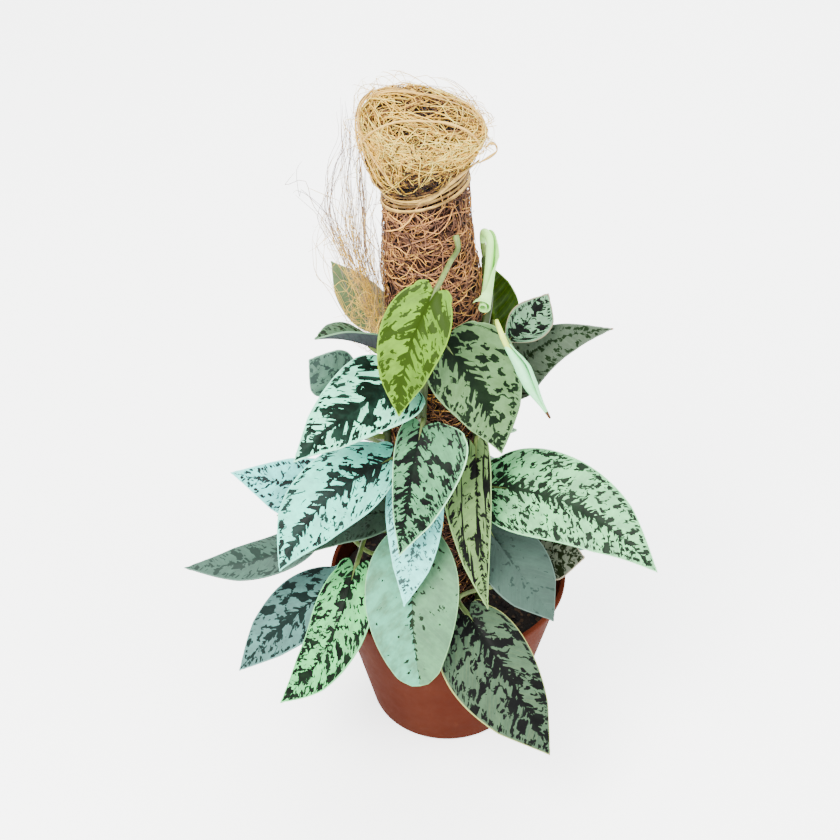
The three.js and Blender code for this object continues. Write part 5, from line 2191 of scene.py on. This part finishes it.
def shown_leaves() -> list[LeafForm]:
    """Gives the leaves that show in front.

    Returns:
        Their forms, from the top of the plant down.
    """
    # Its fifth colour is the left half's ground, painted lighter as painted light on the half that faces the
    # key lamp.
    young = LeafFinish("537b1e", "466320", "233507", "7fa828", "5f8824", slot=Slot.YOUNG, size=1.3,
                       band=3.4, blotch=0.62, stroke=0.65, chain=0.5)
    crown = LeafFinish("4e6b42", "58794e", "071407", "80a370", band=3.3, blotch=0.4, stroke=0.5, chain=0.4,
                       size=1.1)
    curled = LeafFinish("456447", "3d553f", "0c1d0d", "719976", band=1.3, blotch=0.4, stroke=0.4, size=0.8)
    behind = LeafFinish("547864", "4d6859", "2f3f39", "8ab79f", slot=Slot.BLUE, band=1.0, blotch=0.3,
                        stroke=0.35, size=0.9)
    dull = LeafFinish("516140", "49553b", "3a482a", "849870", slot=Slot.PLAIN, band=0.3, blotch=-0.6,
                      stroke=-0.6, chain=-0.8, specks=0.0)
    glossy = LeafFinish("35510a", "314b07", "283e07", "6e8c42", slot=Slot.PLAIN, band=0.3, blotch=-0.6,
                        stroke=-0.6, chain=-0.8, specks=0.0, roughness=0.36)
    upper_right = LeafFinish("64906d", "5a785f", "070707", "8c7162", slot=Slot.BLUE, band=1.1, blotch=0.35,
                             stroke=0.5, chain=0.5, edge=0.7, size=0.9)
    pointed = LeafFinish("445141", "3e493c", "0f1e0b", "758774", slot=Slot.BLUE, band=0.9, blotch=0.3,
                         stroke=0.4, brown_tip=0.02, size=0.95)
    slate = LeafFinish("79e7ba", "73bd9d", "07130c", "a2ddc1", size=1.3, band=7.5, blotch=0.45,
                       stroke=0.55, chain=0.6)
    centre = LeafFinish("437450", "4e8c5f", "070707", "a4e6ad", band=2.1, blotch=0.4, stroke=0.6,
                        chain=0.5, edge=0.75, size=1.05)
    narrow = LeafFinish("5f7e47", "526941", "070707", "96bb77", slot=Slot.YELLOW, band=0.9, blotch=0.15,
                        stroke=0.2, chain=0.2, stripe=0.55)
    comb = LeafFinish("61e0c2", "65b8a4", "121916", "93dec9", band=3.6, blotch=0.25, stroke=0.4, chain=0.3,
                      specks=0.2, size=1.15)
    lilac = LeafFinish("75dfd3", "6ec3b8", "324441", "91e1d0", slot=Slot.BLUE, size=0.7, band=0.6,
                       blotch=0.2, stroke=0.35, chain=0.1, specks=0.35)
    large = LeafFinish("71bf7d", "63936a", "101b11", "a2e8ab", band=2.2, blotch=0.42, stroke=0.6,
                       chain=0.55)
    folded = LeafFinish("3d5242", "37493b", "19281a", "6b8670", slot=Slot.PLAIN, band=0.6, blotch=0.0,
                        stroke=0.1, chain=0.0, specks=0.5)
    # Its fifth colour is the left half's ground, painted lighter as painted light on the half that faces the
    # key lamp.
    front = LeafFinish("537f5b", "49684f", "162215", "90be83", "509c7e", slot=Slot.BLUE, band=1.1,
                       blotch=-0.6, stroke=-0.5, chain=-0.8, specks=0.0)
    left_point = LeafFinish("6ee4d9", "6abab2", "1b1819", "9be8e0", band=1.2, blotch=0.45, stroke=0.6,
                            chain=0.45)
    plain_low = LeafFinish("384b42", "34433c", "26342e", "657b71", slot=Slot.BLUE, band=0.35, blotch=-0.4,
                           stroke=-0.1, chain=-0.8, specks=0.0)
    green_left = LeafFinish("56bd6a", "52915c", "070d07", "8ae198", slot=Slot.YELLOW, band=1.4,
                            blotch=0.65, stroke=0.75, chain=0.5)
    long = LeafFinish("3e594c", "394c43", "24312b", "6a8b7b", slot=Slot.BLUE, band=1.4, blotch=0.35,
                      stroke=0.3)
    pinkish = LeafFinish("5e6756", "565d50", "121b07", "dac4a2", band=0.8, blotch=0.8, stroke=0.9,
                         chain=0.4)
    low_left = LeafFinish("4e7870", "47645e", "111e1b", "7fb2a7", slot=Slot.BLUE, band=1.5, blotch=0.55,
                          stroke=0.6, size=1.3)
    over_pot = LeafFinish("3f5640", "374938", "070707", "979e5a", band=2.6, blotch=0.5, stroke=0.65,
                          chain=0.5, size=1.15, edge=0.8, brown_tip=0.025)
    return [
        LeafForm("leaf_top_young", "coir", 293, (-8, -38, 283), (-22, -58, 233), 30, young,
                 (-15, 40), sway=-0.05, widest=0.3, leave=-62, lift=-0.3),
        LeafForm("leaf_upper_centre", "stem_front", 246, (-2, -32, 252), (23, -54, 210), 43, crown,
                 (25, 45), sway=0.04, skew=0.14, widest=0.24, fold=6),
        LeafForm("leaf_curled_left", "stem_left", 236, (-33, -22, 243), (-59, -38, 259), 24, curled,
                 (-20, 120), fold=30, under=UNDER_PURPLE),
        LeafForm("leaf_behind_left", "stem_left", 206, (-46, -8, 215), (-64, -20, 235), 25, behind,
                 (-9, 30), sway=-0.03, skew=0.12, widest=0.55, leave=-20),
        LeafForm("leaf_back_plain", "stem_back_left", 210, (-32, 26, 222), (-57, 34, 253), 21, dull,
                 (0, 20)),
        LeafForm("leaf_right_plain", "stem_back_right", 222, (20, 16, 228), (15, 20, 262), 25, glossy,
                 (160, 0), under=UNDER_DEEP),
        LeafForm("leaf_upper_right", "stem_right", 234, (26, -12, 242), (42, -18, 271), 19, upper_right,
                 (18, 40), sway=-0.02, skew=-0.05, widest=0.54),
        LeafForm("leaf_right_point", "stem_right", 208, (28, 0, 212), (71, -24, 257), 25, pointed,
                 (20, 40), sway=0.11, skew=-0.11, widest=0.14),
        LeafForm("leaf_upper_left", "stem_left", 230, (-24, -31, 231), (-68, -66, 213), 43, slate,
                 (-38, 45), widest=0.14, fold=6),
        LeafForm("leaf_centre", "stem_front", 206, (-13, -44, 215), (-22, -71, 163), 33, centre,
                 (-5, 45), skew=0.4, widest=0.14, fold=6),
        LeafForm("leaf_narrow_yellow", "stem_right", 192, (12, -38, 199), (19, -68, 127), 24, narrow,
                 (-22, 35), skew=-0.36, widest=0.14, fold=12),
        LeafForm("leaf_middle_left", "stem_left", 184, (-28, -38, 192), (-76, -78, 159), 40, comb,
                 (-38, 45), sway=-0.08, fold=6),
        LeafForm("leaf_centre_blue", "stem_front", 176, (-16, -40, 183), (-20, -74, 134), 27, lilac,
                 (-5, 45), sway=0.04, widest=0.23, fold=6),
        LeafForm("leaf_right_large", "stem_right", 163, (20, -30, 170), (94, -78, 162), 43, large,
                 (20, 40), sway=0.1, widest=0.26, fold=4),
        LeafForm("leaf_folded_left", "stem_left", 158, (-26, -30, 153), (-73, -62, 151), 32, folded,
                 (-30, 60), sway=-0.1, fold=14),
        LeafForm("leaf_front_plain", "stem_front", 146, (-15, -44, 153), (-12, -92, 100), 44, front,
                 (0, 45), sway=-0.04, fold=6, blunt=0.08),
        LeafForm("leaf_left_point", "stem_left", 138, (-41, -15, 143), (-100, -44, 188), 36, left_point,
                 (-10, 30), sway=-0.04),
        LeafForm("leaf_right_plain_low", "stem_right", 138, (20, -34, 145), (50, -70, 122), 36, plain_low,
                 (38, 45), sway=-0.03, fold=6),
        LeafForm("leaf_green_left", "stem_left", 126, (-45, -46, 129), (-80, -80, 73), 32, green_left,
                 (-40, 45), sway=0.14, skew=0.08, widest=0.3, fold=6),
        LeafForm("leaf_left_long", "stem_left", 112, (-63, -14, 130), (-125, -52, 135), 22, long,
                 (-30, 65), sway=0.16, skew=0.09, widest=0.47),
        LeafForm("leaf_right_back", "stem_right", 120, (41, -14, 118), (66, -36, 131), 23, pinkish,
                 (10, 40), skew=-0.24, widest=0.55, fold=6),
        LeafForm("leaf_low_left", "stem_left", 98, (-51, -32, 110), (-101, -66, 80), 38, low_left,
                 (-55, 45), fold=6),
        LeafForm("leaf_over_pot", "stem_right", 95, (11, -58, 112), (50, -100, 62), 44, over_pot,
                 (20, 45), skew=-0.25, widest=0.29, fold=6),
    ]


def far_leaves() -> list[LeafForm]:
    """Gives the leaves on the far side.

    Returns:
        Their forms, placed by azimuth round the pole, distance from its axis and height.
    """
    rows = (
        ("stem_back_right", 246, (168, 34, 250), (174, 62, 205), 38, SILVER),
        ("stem_back_left", 224, (-162, 33, 228), (-166, 70, 190), 38, SILVER),
        ("stem_back_right", 206, (142, 34, 212), (138, 70, 186), 36, BLUE),
        ("stem_back_right", 182, (172, 33, 188), (176, 74, 148), 40, SILVER),
        ("stem_back_left", 182, (-136, 34, 186), (-128, 72, 166), 36, BLUE),
        ("stem_back_right", 158, (142, 34, 160), (158, 72, 130), 34, SILVER),
        ("stem_back_left", 146, (-152, 34, 152), (-162, 80, 108), 42, SILVER),
        ("stem_back_right", 124, (152, 36, 130), (150, 86, 92), 42, BLUE),
        ("stem_back_left", 112, (-118, 36, 116), (-108, 90, 98), 38, SILVER),
        ("stem_back_right", 100, (108, 38, 106), (98, 88, 94), 38, BLUE),
    )
    forms = []
    for i, (stem, height, base, tip, width, finish) in enumerate(rows, 1):
        start, end = (tuple(POLE.at(*spot) / MM) for spot in (base, tip))
        face = ((base[0] + tip[0]) / 2, 45)
        forms.append(LeafForm(f"leaf_far_{i}", stem, height, start, end, width, finish, face, fold=6))
    return forms


def rolled_leaves() -> list[RolledLeaf]:
    """Gives the two pale leaves that are still rolled up.

    Returns:
        The one at the top and the one at the right.
    """
    return [
        RolledLeaf("leaf_rolled_top",
                   ((14.3, 1.2, 276.5), (13.2, 2.4, 285), (13.8, 0.6, 290.5), (16.2, -4.8, 290.5),
                    (16.5, -7.8, 282.5), (15.8, -9, 272), (15.2, -10, 266), (14.4, -14, 262.5),
                    (14, -17, 262)),
                   ((0, 1.1), (0.12, 1.6), (0.25, 2.3), (0.44, 2.7), (0.75, 3.0), (0.9, 3.3), (1, 3.6)),
                   ((0.2, 0), (0.4, 0.4), (0.5, 2.6), (0.6, 0.4), (0.86, 0.5), (1, 1.8)), (0, 230),
                   0.14, 1.5, CELADON, PETIOLE_GREEN, slant=0.6),
        RolledLeaf("leaf_rolled_right",
                   ((20, -15, 254), (20.5, -28, 260), (24, -34, 254.5), (30, -41, 248.5), (35, -47, 241),
                    (43.5, -52, 228.5)),
                   ((0, 0.9), (0.3, 1.2), (0.45, 2.2), (0.62, 4.1), (0.76, 3.6), (0.9, 1.4), (1, 0.6)),
                   ((0.4, 0), (0.6, 0.5), (0.8, 0.3), (1, 0)), (60, 60),
                   0.4, 1.5, MINT, CREAM_STALK, browned=0.06),
    ]


# Studio


@dataclass
class Studio:
    """A pale floor, soft light and the camera at the photograph's angle, in metres, degrees and watts."""

    eye: tuple[float, float, float] = (0.0, -0.590, 0.650)
    tilt: float = 51.8
    turn: float = 1.4
    lens: float = 67.16
    sensor: float = 36.0
    sky: float = 2.1
    glow: float = 2.0
    floor_size: float = 12

    def floor(self) -> None:
        """Lays the floor, which glows a little towards the camera, as a lit backdrop does."""
        bpy.ops.object.select_all(action="DESELECT")
        bpy.ops.mesh.primitive_plane_add(size=self.floor_size)
        floor = fresh("floor")
        material, w, surface = new_material("pale_floor", 0.9, 0.1)
        grain = w.group(fine_grain(), Place=w.place(), Scale=3.0)
        tone = w.mix(w.range(grain["Value"], 0.3, 0.7), rgb("f4f4f2"), rgb("f1f1ef"))
        w.feed(surface.inputs["Base Color"], tone)
        seen = w.node("LightPath").outputs["Is Camera Ray"]
        w.feed(surface.inputs["Emission Color"], w.mix(seen, (0, 0, 0), (1, 1, 1)))
        surface.inputs["Emission Strength"].default_value = self.glow
        floor.data.materials.append(material)

    def lamp(self, name: str, place: tuple[float, float, float], aim: tuple[float, float, float],
             size: float, power: float, colour: Colour) -> None:
        """Hangs one soft square lamp.

        Args:
            name: its name.
            place: where it hangs.
            aim: what it points at.
            size: its side.
            power: watts.
            colour: its colour.
        """
        light = bpy.data.lights.new(name, "AREA")
        light.shape = "SQUARE"
        light.size = size
        light.energy = power
        light.color = colour
        lamp = linked(name, light)
        lamp.location = place
        lamp.rotation_euler = (Vector(aim) - Vector(place)).to_track_quat("-Z", "Y").to_euler()

    def build(self) -> None:
        """Builds the floor, the sky, the lamps and the camera."""
        self.floor()
        world = bpy.data.worlds.new("soft_room")
        world.use_nodes = True
        background = world.node_tree.nodes["Background"]
        background.inputs["Color"].default_value = (0.93, 0.97, 1.0, 1)
        background.inputs["Strength"].default_value = self.sky
        bpy.context.scene.world = world
        self.lamp("key", (-0.6, -0.9, 1.5), (0, 0, 0.2), 0.9, 87, (1.0, 0.98, 0.95))
        self.lamp("fill", (1.1, -0.5, 0.9), (0, 0, 0.15), 1.2, 20, (0.93, 0.97, 1.0))
        self.lamp("back", (0.2, 1.2, 1.2), (0, 0, 0.2), 1.0, 31, (1.0, 1.0, 1.0))
        data = bpy.data.cameras.new("camera")
        data.lens = self.lens
        data.sensor_width = self.sensor
        camera = linked("camera", data)
        camera.location = self.eye
        camera.rotation_euler = (self.tilt * DEG, 0, self.turn * DEG)
        bpy.context.scene.camera = camera


def main() -> None:
    """Builds the plant piece by piece."""
    logging.basicConfig(level=logging.INFO, format="%(name)s: %(message)s")
    bpy.ops.object.select_all(action="DESELECT")
    Studio().build()
    NurseryPot().build()
    PottingMix().build()
    CoirPole().build()
    CoirHead().build()
    RaffiaTie().build()
    LooseWisps().build()
    forms = shown_leaves() + far_leaves()
    heights = {stem: [form.height for form in forms if form.stem == stem] for stem in STEMS.routes}
    STEMS.build(heights)
    for seed, form in enumerate(forms, 1):
        OpenLeaf(form, seed).build()
    for leaf in rolled_leaves():
        leaf.build()


if __name__ == "__main__":
    main()
